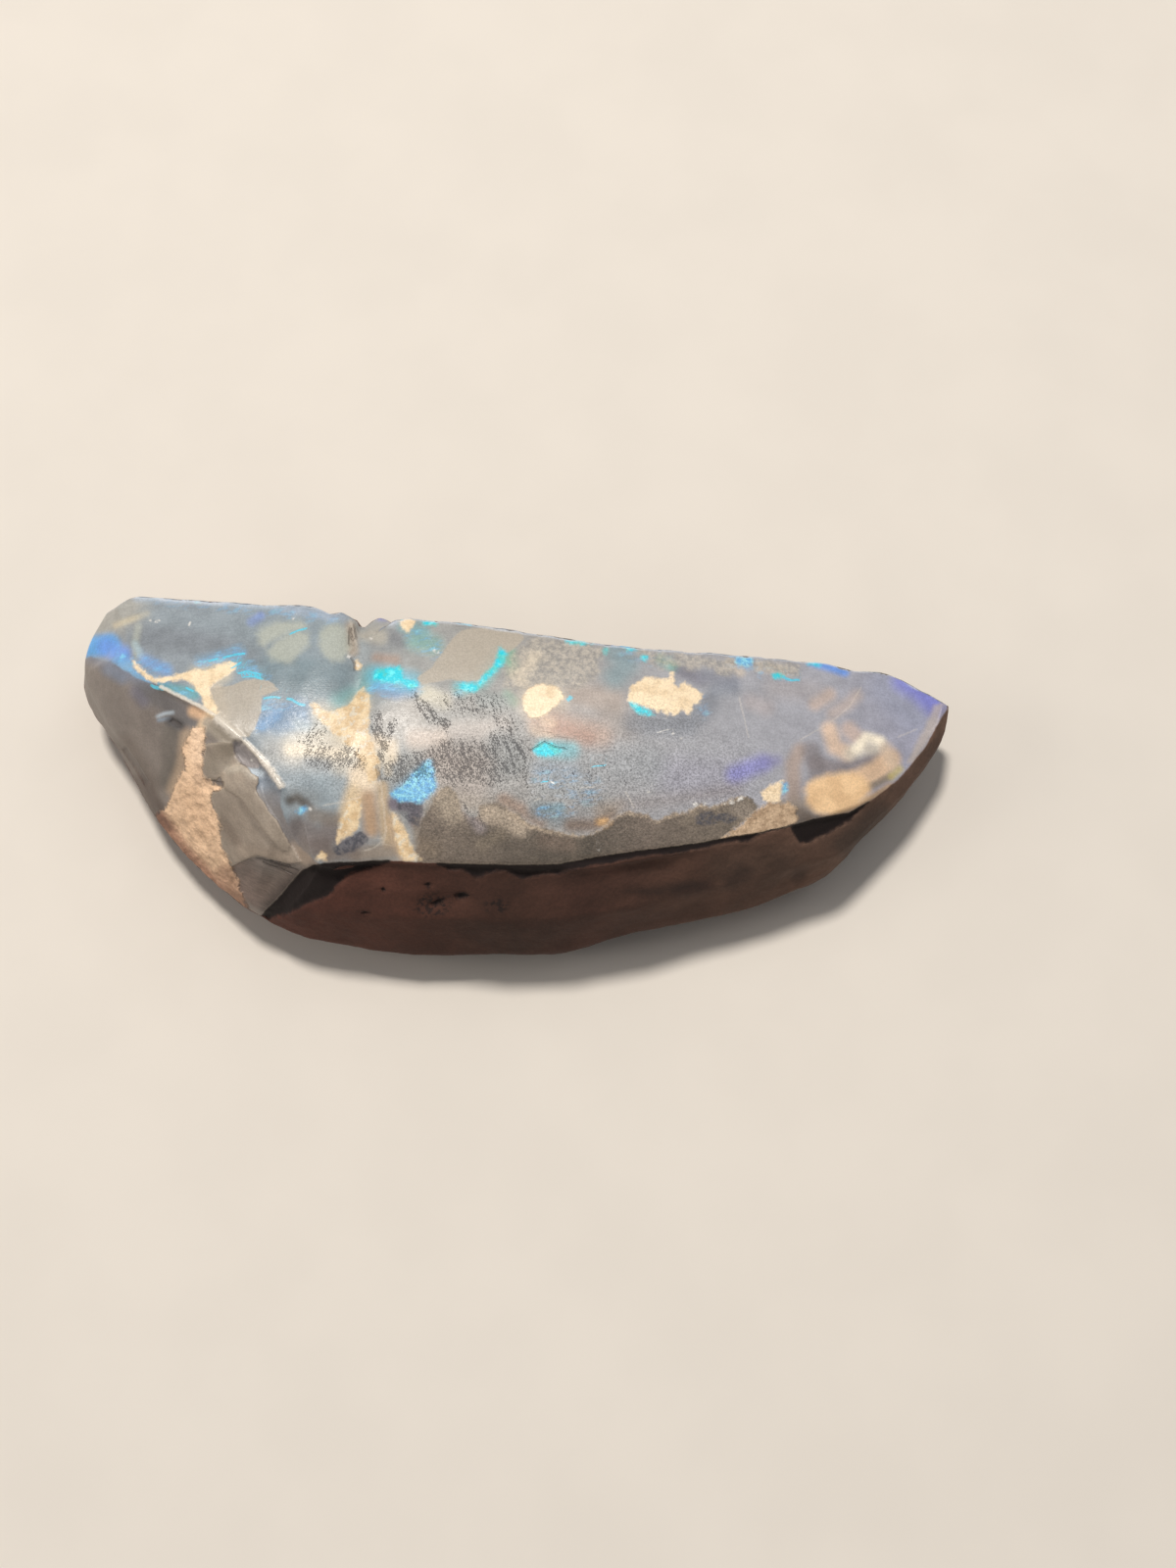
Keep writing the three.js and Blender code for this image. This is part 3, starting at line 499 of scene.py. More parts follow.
FACET_CLOUDS = [
    ([(96, 668), (150, 696)], 3, 14, (118, 130, 152), 0.7),
    ([(104, 700), (120, 730)], 12, 18, (126, 117, 111), 0.6),
    ([(110, 684), (124, 692)], 3, 8, (124, 134, 152), 0.7),
    ([(150, 705), (178, 722), (190, 740)], 7, 12, (104, 102, 104), 0.75),
    ([(138, 706), (146, 716)], 3, 8, (106, 104, 120), 0.6),
    ([(176, 745), (178, 776), (172, 796)], 7, 14, (98, 92, 85), 0.75),
    ([(126, 762), (150, 800)], 8, 12, (106, 94, 86), 0.85),
    ([(142, 800), (160, 828)], 7, 8, (82, 66, 58), 0.9),
    ([(198, 726), (210, 730)], 4, 6, (222, 182, 146), 0.9),
    ([(215, 728), (208, 738), (204, 746)], 3, 5, (236, 204, 168), 0.85),
    ([(190, 748), (186, 780), (176, 806)], 3, 8, (196, 168, 140), 0.6),
    ([(264, 792), (284, 812)], 8, 9, (130, 140, 152), 0.9),
    # Painted highlight, blue-white, beside the plate's cap.
    ([(255, 786), (267, 790)], 2, 4, (198, 208, 216), 0.9),
    ([(213, 738), (226, 750), (236, 756)], 5, 5, (172, 161, 146), 0.9),
    ([(276, 818), (298, 850)], 8, 12, (126, 121, 120), 0.8),
    ([(300, 866), (316, 880)], 6, 8, (138, 124, 112), 0.7),
    # Painted highlight in a small dimple of the facet, and painted shadow just below it.
    ([(161, 731), (168, 728), (176, 727)], 0.6, 3, (188, 200, 210), 0.8),
    ([(162, 735), (172, 733)], 0.6, 3, (146, 164, 182), 0.7),
    ([(174, 736), (184, 740)], 3, 6, (76, 74, 76), 0.85),
    ([(70, 720), (92, 752), (114, 784), (140, 816)], 6, 5, (104, 88, 78), 0.9),
    ([(240, 890), (262, 910)], 12, 20, (120, 101, 92), 0.8),
    # Painted shadow: the scratched step darkens towards the dark corner of the walls.
    ([(276, 902), (290, 894)], 8, 14, (110, 95, 86), 0.8),
    ([(296, 870), (312, 876)], 5, 7, (154, 136, 120), 0.8),
    # Painted shadow at that corner.
    ([(306, 896), (290, 910), (276, 926)], 6, 11, (60, 47, 42), 0.9),
]
PLATE_CLOUDS = [
    ([(222, 780), (230, 764)], 10, 6, (136, 125, 111), 0.8),
    ([(232, 796), (250, 798)], 7, 8, (154, 140, 125), 0.9),
    # A painted highlight along the lit top edge of the large plate's cap.
    ([(234, 786), (247, 783), (260, 793)], 2, 5, (176, 165, 150), 0.9),
    ([(252, 806), (288, 856)], 7, 5, (150, 137, 123), 0.8),
    ([(226, 838), (236, 848), (243, 858)], 3, 6, (120, 106, 94), 0.75),
    ([(246, 818), (262, 842), (280, 864)], 1, 4, (124, 112, 100), 0.8),
    ([(250, 868), (296, 876)], 4, 8, (158, 142, 127), 0.7),
]
POTCH_CLOUDS = [
    ([(452, 810), (462, 828)], 9, 12, (160, 146, 129), 0.85),
    ([(478, 826), (490, 844)], 4, 7, (136, 126, 126), 0.8),
    ([(496, 830), (514, 834), (532, 844)], 6, 9, (174, 158, 140), 0.85),
    ([(420, 860), (440, 866)], 6, 12, (132, 116, 98), 0.5),
    ([(492, 862), (512, 852)], 3, 9, (120, 108, 92), 0.6),
    ([(616, 840), (620, 837)], 1, 7, (206, 160, 104), 0.9),
    ([(556, 858), (580, 862)], 5, 9, (112, 96, 84), 0.7),
    ([(752, 822), (764, 832)], 5, 9, (148, 136, 124), 0.7),
    ([(700, 838), (706, 830)], 3, 7, (128, 116, 102), 0.6),
]
CRUMB_CLOUDS = [
    ([(200, 744), (203, 772)], 4, 12, (246, 212, 180), 0.9),
    ([(204, 786), (203, 797)], 3, 7, (202, 170, 142), 0.7),
    ([(196, 815), (206, 845)], 8, 14, (226, 188, 153), 0.6),
    ([(160, 838), (182, 868), (214, 902), (250, 932)], 9, 8, (168, 126, 104), 0.95),
    ([(158, 832), (168, 842)], 5, 8, (132, 98, 82), 0.9),
    ([(230, 890), (243, 914)], 6, 8, (166, 130, 107), 0.8),
]
ROCK_CLOUDS = [
    ([(740, 884), (800, 878)], 8, 22, (94, 72, 60), 0.7),
    ([(860, 862), (900, 830)], 6, 12, (66, 54, 47), 0.7),
    ([(694, 908), (720, 904)], 3, 10, (66, 44, 38), 0.7),
]
# Each field: its ground colours at places along the picture's width, and the clouds over them.
FIELDS = {
    "ground_colour": ([
        (80, (136, 142, 148)), (200, (144, 152, 159)), (330, (144, 155, 162)), (420, (160, 160, 158)),
        (560, (154, 151, 149)), (700, (161, 161, 166)), (850, (164, 164, 173)), (960, (160, 160, 180)),
    ], OPAL_CLOUDS),
    "facet_colour": ([(80, (134, 124, 117))], FACET_CLOUDS),
    "plate_colour": ([(240, (144, 131, 118))], PLATE_CLOUDS),
    "potch_colour": ([
        (440, (114, 102, 91)), (520, (97, 87, 77)), (600, (88, 79, 69)), (660, (112, 100, 90)),
        (750, (117, 106, 94)),
    ], POTCH_CLOUDS),
    "crumb_colour": ([(200, (234, 198, 164))], CRUMB_CLOUDS),
    # The walls' colours, darker than the rock's own as painted shade.
    "rock_colour_in_shade": ([
        (280, (92, 53, 42)), (420, (80, 48, 37)), (520, (66, 42, 32)), (600, (78, 50, 40)),
        (700, (88, 61, 49)), (860, (106, 80, 66)),
    ], ROCK_CLOUDS),
}

# How thickly the pits lie that break up the gloss: a route, its reach, its fading edge and the share.
PITS = [
    ([(404, 786), (440, 778)], 12, 10, 0.9),
    ([(462, 776), (500, 780)], 18, 18, 0.9),
    ([(514, 756), (526, 778)], 12, 14, 0.85),
    ([(384, 732), (386, 752)], 5, 7, 0.95),
    ([(402, 738), (394, 756), (388, 774)], 3, 4, 0.95),
    ([(424, 712), (436, 728), (454, 740)], 5, 6, 0.85),
    ([(462, 716), (506, 722)], 9, 12, 0.62),
    ([(508, 730), (524, 742)], 6, 10, 0.6),
    ([(312, 754), (326, 744)], 5, 10, 0.66),
    ([(316, 768), (330, 764)], 5, 9, 0.85),
    ([(318, 772), (348, 776)], 7, 12, 0.85),
    ([(356, 770), (366, 778)], 8, 8, 0.8),
    ([(478, 824), (492, 842)], 5, 6, 0.5),
    ([(560, 800), (620, 792)], 16, 34, 0.32),
]
# Where the surface is dulled by fine grinding marks, and its frosting is lightened into painted glints.
SANDED = [
    ([(470, 800), (560, 800), (640, 796)], 36, 60, 1.0),
    ([(640, 790), (740, 800)], 24, 50, 0.9),
    ([(280, 780), (350, 790)], 16, 20, 0.6),
    ([(660, 740), (700, 750)], 12, 30, 0.7),
]
# Where streaks of electric blue glint.
GLINTS = [
    ([(124, 668), (146, 690), (166, 702)], 5, 9, 0.8),
    ([(146, 672), (166, 682)], 4, 9, 0.8),
    ([(206, 676), (244, 666)], 4, 8, 0.8),
    ([(246, 678), (268, 690)], 5, 9, 0.8),
    ([(170, 704), (198, 710)], 3, 6, 0.7),
    ([(276, 718), (306, 722)], 4, 9, 0.6),
    ([(268, 726), (260, 750)], 4, 7, 0.8),
    ([(382, 704), (424, 700)], 5, 9, 0.9),
    ([(424, 652), (446, 662)], 6, 10, 0.8),
    ([(470, 704), (512, 668)], 4, 8, 0.5),
    ([(556, 796), (600, 806)], 8, 14, 0.5),
    ([(552, 826), (580, 824)], 4, 8, 0.8),
    ([(745, 674), (772, 676)], 5, 8, 0.8),
    ([(776, 686), (812, 690)], 3, 7, 0.6),
    ([(640, 664), (690, 676)], 5, 10, 0.4),
    ([(160, 612), (340, 632)], 3, 6, 0.5),
    ([(560, 646), (650, 660)], 2, 5, 0.6),
    ([(714, 712), (720, 728)], 3, 6, 0.5),
]
SHARES = {"pit_share": PITS, "sanding": SANDED, "glints": GLINTS}

# Where the relief is fine enough to want a closer mesh.
CLOSE_ZONES = [
    [(60, 680), (150, 680), (230, 715), (330, 800), (340, 890), (300, 950), (180, 920), (60, 760)],
    [(735, 860), (735, 840), (775, 795), (805, 795), (815, 840)],
]
# Where the back edge is cut deeper or built up round the notch: a route, its reach, its fading edge and
# the height, in full above one level and not at all below another.
NOTCH_SHAPES = [
    ([(372, 630), (371, 643)], 2, 7, -0.3),
    ([(388, 636), (402, 631)], 3, 7, 0.2),
]
NOTCH_FOOT = 4.0
NOTCH_TOP = 5.2

# The blunt end is too steep for the photo to show: its opal runs on round it and stops at this level.
BLUNT_END_X = -15.0
BLUNT_END_FOOT = 3.2
# How far the opal reaches down the hidden back wall.
BACK_OPAL = 1.7
# Where the crack runs along the stone: the pits slant the other way beyond it.
CRACK_X = -5.4

# Heights and depths of the relief, in millimetres.
SKIN_GRAIN = 0.008
PLATE_HEIGHT = 0.07
RAISED_HEIGHT = 0.025
STEP_DEPTH = 0.05
SCOOP_DEPTH = 0.12
RIDGE_HEIGHT = 0.1
CHIP_DEPTH = 0.07
CRUMB_HEIGHT = 0.13
SEAM_DEPTH = 0.12
GROOVE_DEPTH = 0.045
WALL_LUMPS = 0.035
WALL_GRAIN = 0.018
# The relief starts this far above the flat base and is full from the second level on.
FLAT_FOOT = 0.3
ROUGH_FROM = 0.8

# How far from a marking or a line its depth and offset are still worked out, in pixels.
MARKING_REACH = 40.0
LINE_REACH = 8.0

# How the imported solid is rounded: what counts as one point, which triangles pair up, and which edges stay.
WELD = 0.002 * MM
PAIR_BEND = math.radians(50)
PAIR_SKEW = math.radians(110)
SHARP = math.radians(24)
SOFT_CREASE = 0.5
HARD_CREASE = 0.8
LEAST_TILT_UP = 0.1

# The stage, in metres: each light's name, direction, distance, width, watts, colour and target.
FLOOR_HALF = 0.6
LIGHTS = [
    ("key", (-0.088, 0.32, 0.943), 0.30, 0.045, 0.75, (1.0, 0.96, 0.9), (-0.003, 0.001, 0.0078)),
    ("side", (-0.85, -0.1, 0.5), 0.30, 0.15, 0.18, (1.0, 0.95, 0.88), (0, 0, 0.004)),
    ("fill", (0.5, 0.4, 0.9), 0.5, 0.35, 0.25, (0.95, 0.97, 1.0), (0, 0, 0.004)),
]
SKY_COLOUR = (0.95, 0.97, 1.0)
SKY_STRENGTH = 0.2


def to_picture(points):
    """The picture pixels of points in space."""
    ray = points - EYE
    depth = ray @ FORWARD
    across = PICTURE_WIDTH / 2 + FOCAL_PX * (ray @ RIGHT) / depth
    down = PICTURE_HEIGHT / 2 - FOCAL_PX * (ray @ UP) / depth
    return np.stack((across, down), axis=1)


def smooth_step(values, low, high):
    """A soft change from 0 at low to 1 at high."""
    share = np.clip((values - low) / (high - low), 0, 1)
    return share * share * (3 - 2 * share)


def to_stretch(pixels, start, end):
    """For each pixel: distance to a straight stretch, its side, and how far it is past each end."""
    start = np.array(start, float)
    along = np.array(end, float) - start
    length = max(np.hypot(*along), 1e-6)
    offset = pixels - start
    travelled = offset @ along / length
    nearest = np.clip(travelled, 0, length)
    distance = np.linalg.norm(offset - nearest[:, None] * along / length, axis=1)
    side = np.where(offset[:, 1] * along[0] - offset[:, 0] * along[1] < 0, -1.0, 1.0)
    return distance, side, -travelled, travelled - length


def to_route(pixels, route):
    """For each pixel: distance to a route of stretches, its side, and how far it is past the ends."""
    best = np.full(len(pixels), np.inf)
    sides = np.ones(len(pixels))
    past = np.full(len(pixels), -np.inf)
    last = len(route) - 2
    for index, (start, end) in enumerate(zip(route, route[1:])):
        distance, side, before, after = to_stretch(pixels, start, end)
        beyond = np.full(len(pixels), -np.inf)
        if index == 0:
            beyond = np.maximum(beyond, before)
        if index == last:
            beyond = np.maximum(beyond, after)
        nearer = distance < best
        best = np.where(nearer, distance, best)
        sides = np.where(nearer, side, sides)
        past = np.where(nearer, beyond, past)
    return best, sides, past


def outline_depth(pixels, outline):
    """How deep each pixel lies inside an outline; negative outside."""
    inside = np.zeros(len(pixels), bool)
    across, down = pixels.T
    for (ax, ay), (bx, by) in zip(outline, outline[1:] + outline[:1]):
        crosses = (ay > down) != (by > down)
        if ay != by:
            inside ^= crosses & (across < (bx - ax) * (down - ay) / (by - ay) + ax)
    distance = to_route(pixels, outline + outline[:1])[0]
    return np.where(inside, distance, -distance)


def markings_depth(pixels, outlines):
    """How deep each pixel lies inside the nearest of several outlines."""
    depth = np.full(len(pixels), -MARKING_REACH)
    for outline in outlines:
        corners = np.array(outline, float)
        low = corners.min(axis=0) - MARKING_REACH
        high = corners.max(axis=0) + MARKING_REACH
        near = np.all((pixels > low) & (pixels < high), axis=1)
        if near.any():
            depth[near] = np.maximum(depth[near], outline_depth(pixels[near], outline))
    return np.clip(depth, -MARKING_REACH, MARKING_REACH)


def lines_offset(pixels, lines):
    """Which way and how many half widths each pixel lies off the nearest line, and how much it is its."""
    offset = np.full(len(pixels), MARKING_REACH)
    cover = np.zeros(len(pixels))
    for route, width in lines:
        distance, side, past = to_route(pixels, route)
        ratio = distance / (width / 2)
        reach = 1 - smooth_step(distance, LINE_REACH, 1.5 * LINE_REACH)
        reach *= 1 - smooth_step(past, -0.5, 2.0)
        nearer = (ratio < np.abs(offset)) & (reach > 0)
        offset = np.where(nearer, ratio * side, offset)
        cover = np.where(nearer, reach, cover)
    return offset, cover


def cloud_share(pixels, route, reach, fade, strength):
    """How much a soft cloud along a route covers each pixel."""
    distance = to_route(pixels, route)[0]
    return strength * (1 - smooth_step(distance, reach - fade / 3, reach + fade))


def cloud_shares(pixels, clouds):
    """The strongest cover of several soft clouds."""
    return np.max([cloud_share(pixels, *cloud) for cloud in clouds], axis=0)


def field_colours(pixels, ground, clouds):
    """Linear colours of a field: its ground, with soft clouds laid one over the other."""
    places = np.array([place for place, colour in ground], float)
    shades = np.array([srgb(*colour) for place, colour in ground])
    colours = np.stack([np.interp(pixels[:, 0], places, channel) for channel in shades.T], axis=1)
    for route, reach, fade, colour, strength in clouds:
        share = cloud_share(pixels, route, reach, fade, strength)
        colours += share[:, None] * (np.array(srgb(*colour)) - colours)
    return colours


def grain(points, pitch_mm, stretch=(1, 1, 1), offset=0.0):
    """Smooth noise from -1 to 1 over points in space."""
    scaled = points / (pitch_mm * MM) / np.array(stretch) + offset
    return np.array([noise.noise(point) for point in scaled])


def mesh_array(mesh, name, items):
    """One row of three numbers for each item of a mesh."""
    values = np.empty(len(getattr(mesh, items)) * 3)
    getattr(mesh, items).foreach_get(name, values)
    return values.reshape(-1, 3)


def smooth_copy(node):
    """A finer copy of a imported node: its triangles paired into quads and rounded, its edges kept."""
    work = bmesh.new()
    work.from_mesh(node.data)
    bmesh.ops.remove_doubles(work, verts=work.verts, dist=WELD)
    bmesh.ops.join_triangles(
        work, faces=work.faces, angle_face_threshold=PAIR_BEND, angle_shape_threshold=PAIR_SKEW)
    crease = work.edges.layers.float.new("crease_edge")
    for edge in work.edges:
        if len(edge.link_faces) == 2:
            angle = edge.calc_face_angle()
            edge[crease] = HARD_CREASE if angle > 2 * SHARP else SOFT_CREASE if angle > SHARP else 0.0
    cage = bpy.data.meshes.new("cage")
    work.to_mesh(cage)
    work.free()
    carrier = bpy.data.objects.new("cage", cage)
    bpy.context.scene.collection.objects.link(carrier)
    rounding = carrier.modifiers.new("rounding", "SUBSURF")
    rounding.levels = 2
    rounding.render_levels = 2
    bpy.context.view_layer.update()
    fine = bpy.data.meshes.new_from_object(carrier.evaluated_get(bpy.context.evaluated_depsgraph_get()))
    bpy.data.objects.remove(carrier)
    bpy.data.meshes.remove(cage)
    return fine


def tighten(mesh, zones):
    """Splits the faces that lie in zones of the picture and look up, each into four."""
    work = bmesh.new()
    work.from_mesh(mesh)
    centres = np.array([face.calc_center_median() for face in work.faces])
    looks_up = np.array([face.normal.z > LEAST_TILT_UP for face in work.faces])
    chosen = (markings_depth(to_picture(centres), zones) > 0) & looks_up
    edges = {edge for face, wanted in zip(work.faces, chosen) if wanted for edge in face.edges}
    edges = sorted(edges, key=lambda edge: edge.index)
    bmesh.ops.subdivide_edges(work, edges=edges, cuts=1, use_grid_fill=True)
    work.to_mesh(mesh)
    work.free()


def relief(points, pixels, depth, lines, rim):
    """Fine height of the surface in millimetres, over the rounded solid."""
    def inside(name, low=-2, high=3):
        return smooth_step(depth[name], low, high)

    wall = smooth_step(-depth["upper"], -2, 6)
    height = SKIN_GRAIN * grain(points, 0.4, offset=2.0) * (1 - wall)

    crumbs = 0.5 * grain(points, 0.7) + 0.35 * grain(points, 0.34, offset=7.0)
    crumbs += 0.2 * grain(points, 0.17, offset=4.0)
    height += inside("crumbly") * CRUMB_HEIGHT * (crumbs + 0.2)
    ribs = grain(points, 0.3, stretch=(1, 4, 1), offset=3.0)
    plate = 0.9 + 0.35 * grain(points, 0.8, offset=3.0) + 0.2 * ribs
    height += inside("plates", -1.2, 1.2) * PLATE_HEIGHT * plate
    height += inside("raised_plates", -1.2, 1.2) * RAISED_HEIGHT
    height -= inside("scratched_step", -2, 2) * STEP_DEPTH
    high = smooth_step(points[:, 2], NOTCH_FOOT * MM, NOTCH_TOP * MM)
    for cloud in NOTCH_SHAPES:
        height += cloud_share(pixels, *cloud) * high
    height -= inside("scoop") * SCOOP_DEPTH

    offset, cover = lines["grooves"]
    height -= GROOVE_DEPTH * cover * np.sqrt(np.clip(1 - (offset / 1.25) ** 2, 0, 1))
    offset, cover = lines["ridge"]
    height += RIDGE_HEIGHT * cover * smooth_step(offset, -1.2, 0.3) * (1 - smooth_step(offset, 0.3, 4.0))

    chips = np.abs(grain(points, 0.55, offset=21.0)) + 0.5 * np.abs(grain(points, 0.27, offset=17.0))
    height -= rim * CHIP_DEPTH * (1 - smooth_step(chips, 0.0, 0.5))

    height -= inside("dark_seam_and_shadow") * SEAM_DEPTH * wall
    lumps = WALL_LUMPS * grain(points, 0.9, offset=11.0) + WALL_GRAIN * grain(points, 0.35, offset=5.0)
    height += wall * lumps
    return height * smooth_step(points[:, 2], FLAT_FOOT * MM, ROUGH_FROM * MM)


def write_attribute(mesh, name, values):
    """Gives each vertex a number or a colour that the material reads."""
    kind, key = ("FLOAT", "value") if values.ndim == 1 else ("FLOAT_COLOR", "color")
    layer = mesh.attributes.new(name, kind, "POINT")
    layer.data.foreach_set(key, values.astype(np.float32).ravel())


def back_band(points, normals, seen):
    """Height over the lower limit of the opal on the hidden walls, in millimetres."""
    columns = np.round(points[:, 0] / MM).astype(int)
    columns -= columns.min()
    top = np.zeros(columns.max() + 1)
    np.maximum.at(top, columns, points[:, 2])
    height = (points[:, 2] - (top[columns] - BACK_OPAL * MM)) / MM
    hidden = np.maximum(1 - seen, smooth_step(normals[:, 1], 0.3, 0.5))
    return height - 3 * (1 - smooth_step(normals[:, 1], -0.1, 0.5)) - 2 * (1 - hidden)


def blunt_end(points, normals):
    """How much each point belongs to the steep opal of the blunt end, above its uneven lower limit."""
    above = points[:, 2] / MM - BLUNT_END_FOOT + 0.12 * grain(points, 1.3, offset=9.0)
    outward = smooth_step(-normals[:, 0], 0.4, 0.6)
    return smooth_step(above, -0.1, 0.1) * outward * (points[:, 0] < BLUNT_END_X * MM)


def make_stone():
    """The visible stone: the rounded copy, its markings as attributes, and its relief."""
    mesh = smooth_copy(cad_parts["opal"])
    tighten(mesh, CLOSE_ZONES)
    points = mesh_array(mesh, "co", "vertices")
    normals = mesh_array(mesh, "vector", "vertex_normals")
    pixels = to_picture(points)
    towards_eye = EYE - points
    towards_eye /= np.linalg.norm(towards_eye, axis=1)[:, None]
    seen = smooth_step((normals * towards_eye).sum(axis=1), 0.0, 0.2)
    seen = np.maximum(seen, blunt_end(points, normals))

    depth = {}
    for name, outlines in OUTLINES.items():
        depth[name] = markings_depth(pixels, outlines) - (1 - seen) * 2 * MARKING_REACH
        write_attribute(mesh, name, depth[name] / PX_PER_MM)
    lines = {}
    for name, routes in LINES.items():
        offset, cover = lines_offset(pixels, routes)
        lines[name] = (offset, cover * seen)
        write_attribute(mesh, name, offset)
        write_attribute(mesh, name + "_cover", cover * seen)
    write_attribute(mesh, "back_band", back_band(points, normals, seen))
    for name, clouds in SHARES.items():
        write_attribute(mesh, name, cloud_shares(pixels, clouds) * seen)
    # The rim: the bevel along the back edge that faces up and back, towards the key light. It sets where the
    # chips go, and the shader paints a highlight on it.
    rim = smooth_step(normals[:, 2], 0.25, 0.6) * (1 - smooth_step(normals[:, 2], 0.8, 0.92))
    rim *= smooth_step(normals[:, 1], 0.05, 0.3) * lines_offset(pixels, BACK_EDGE)[1] * seen
    write_attribute(mesh, "rim", rim)
    for name, (ground, clouds) in FIELDS.items():
        colours = field_colours(pixels, ground, clouds)
        write_attribute(mesh, name, np.column_stack((colours, np.ones(len(points)))))

    points = points + normals * (relief(points, pixels, depth, lines, rim) * MM)[:, None]
    points[:, 2] = np.maximum(points[:, 2], 0)
    mesh.vertices.foreach_set("co", points.ravel())
    mesh.polygons.foreach_set("use_smooth", [True] * len(mesh.polygons))
    mesh.update()
    stone = bpy.data.objects.new("opal_stone", mesh)
    bpy.context.scene.collection.objects.link(stone)
    return stone


class Shader:
    """A short way to write a material's nodes."""

    def __init__(self, name):
        self.material = bpy.data.materials.new(name)
        self.material.use_nodes = True
        self.tree = self.material.node_tree
        self.tree.nodes.clear()
        place = self.node("TexCoord", {}, "Object")
        self.mm = self.node("VectorMath", {0: place, "Scale": 1 / MM}, operation="SCALE")

    def put(self, socket, value):
        """Fills an input with a value, or links it to another node's output."""
        if isinstance(value, bpy.types.NodeSocket):
            self.tree.links.new(value, socket)
        elif socket.type == "RGBA":
            socket.default_value = (*value, 1.0)
        else:
            socket.default_value = value

    def node(self, kind, inputs, output=0, **settings):
        """One output of a new node that has these inputs, by name or number, and these settings."""
        node = self.tree.nodes.new("ShaderNode" + kind)
        for setting, value in settings.items():
            setattr(node, setting, value)
        for socket, value in inputs.items():
            self.put(node.inputs[socket], value)
        return node.outputs[output]

    def calc(self, operation, *values, clamp=False):
        return self.node("Math", dict(enumerate(values)), operation=operation, use_clamp=clamp)

    def attribute(self, name, output="Fac"):
        """What make_stone wrote on the mesh under a name: a number, or a colour if output says so."""
        return self.node("Attribute", {}, output, attribute_name=name)

    def noise(self, pitch, detail=4.0, roughness=0.6, stretch=(1, 1, 1), turn=0.0, shift=0.0):
        """Noise from 0 to 1 with features of about pitch millimetres."""
        spread = [pitch * part for part in stretch]
        place = {"Vector": self.mm, "Location": [shift] * 3, "Rotation": (0, 0, turn), "Scale": spread}
        place = self.node("Mapping", place, vector_type="TEXTURE")
        look = {"Vector": place, "Scale": 1.0, "Detail": detail, "Roughness": roughness}
        return self.node("TexNoise", look, "Fac")

    def step(self, value, low, high, to_low=0.0, to_high=1.0):
        """A soft change from to_low to to_high as a value goes from low to high."""
        ends = {"Value": value, "From Min": low, "From Max": high, "To Min": to_low, "To Max": to_high}
        return self.node("MapRange", ends, "Result", interpolation_type="SMOOTHSTEP")

    def mask(self, name, soft=0.05, wobble=0.0, pitch=0.35, strength=1.0):
        """Strength inside a marking and nought outside, with an edge that wanders by wobble millimetres."""
        depth = self.attribute(name)
        if wobble:
            wander = self.calc("SUBTRACT", self.noise(pitch), 0.5)
            depth = self.calc("MULTIPLY_ADD", wander, 3 * wobble, depth)
        return self.step(depth, -soft, soft, 0.0, strength)

    def line(self, name, soft=0.4, wobble=0.5, strength=1.0):
        """Strength on the thin markings of a kind and nought beside them."""
        wander = self.calc("SUBTRACT", self.noise(0.2, detail=2, roughness=0.5), 0.5)
        offset = self.calc("ABSOLUTE", self.calc("MULTIPLY_ADD", wander, 3 * wobble, self.attribute(name)))
        share = self.step(offset, 1 - soft, 1 + soft, strength, 0.0)
        return self.calc("MULTIPLY", share, self.attribute(name + "_cover"))

    def mix(self, share, a, b):
        """A colour that goes from a to b."""
        return self.node("Mix", {0: share, 6: a, 7: b}, 2, data_type="RGBA")

    def blend(self, share, a, b):
        """A number that goes from a to b."""
        return self.node("Mix", {0: share, 2: a, 3: b}, data_type="FLOAT")

    def shade(self, colour, factor):
        """A colour made lighter or darker by a number."""
        return self.node("VectorMath", {0: colour, "Scale": factor}, operation="SCALE")

    def grained(self, colour, pitch, limits, factors, **look):
        """A colour made darker and lighter as noise goes from one limit to the other."""
        return self.shade(colour, self.step(self.noise(pitch, **look), *limits, *factors))

    def tones(self, a, b, pitch, limits, **look):
        """A colour that goes from a to b as noise goes from one limit to the other."""
        return self.mix(self.step(self.noise(pitch, **look), *limits), srgb(*a), srgb(*b))

    def finish(self, inputs):
        """The material, with one surface that has these inputs."""
        output = self.tree.nodes.new("ShaderNodeOutputMaterial")
        self.put(output.inputs["Surface"], self.node("BsdfPrincipled", inputs))
        return self.material


def ground_colour(s):
    """The opal's own colour: soft clouds, faint streaks along the stone, and the mottled fields."""
    colour = s.grained(s.attribute("ground_colour", "Color"), 0.7, (0.3, 0.7), (0.9, 1.08))
    colour = s.grained(colour, 0.1, (0.3, 0.7), (0.96, 1.04), detail=3, stretch=(14, 1, 1), turn=0.05)
    glow = s.noise(0.26, roughness=0.65, stretch=(2.2, 1, 1), turn=0.15)
    glint = s.calc("MULTIPLY", s.attribute("glints"), s.step(glow, 0.47, 0.64, 0.0, 0.7))
    blue = s.mix(s.step(glow, 0.56, 0.7), srgb(112, 176, 230), srgb(140, 222, 238))
    colour = s.mix(glint, colour, blue)
    field = s.tones((145, 141, 136), (194, 184, 170), 0.22, (0.38, 0.62), detail=5, roughness=0.72)
    return s.mix(s.mask("mottled", 0.16, 0.24, 0.5, 0.7), colour, field)


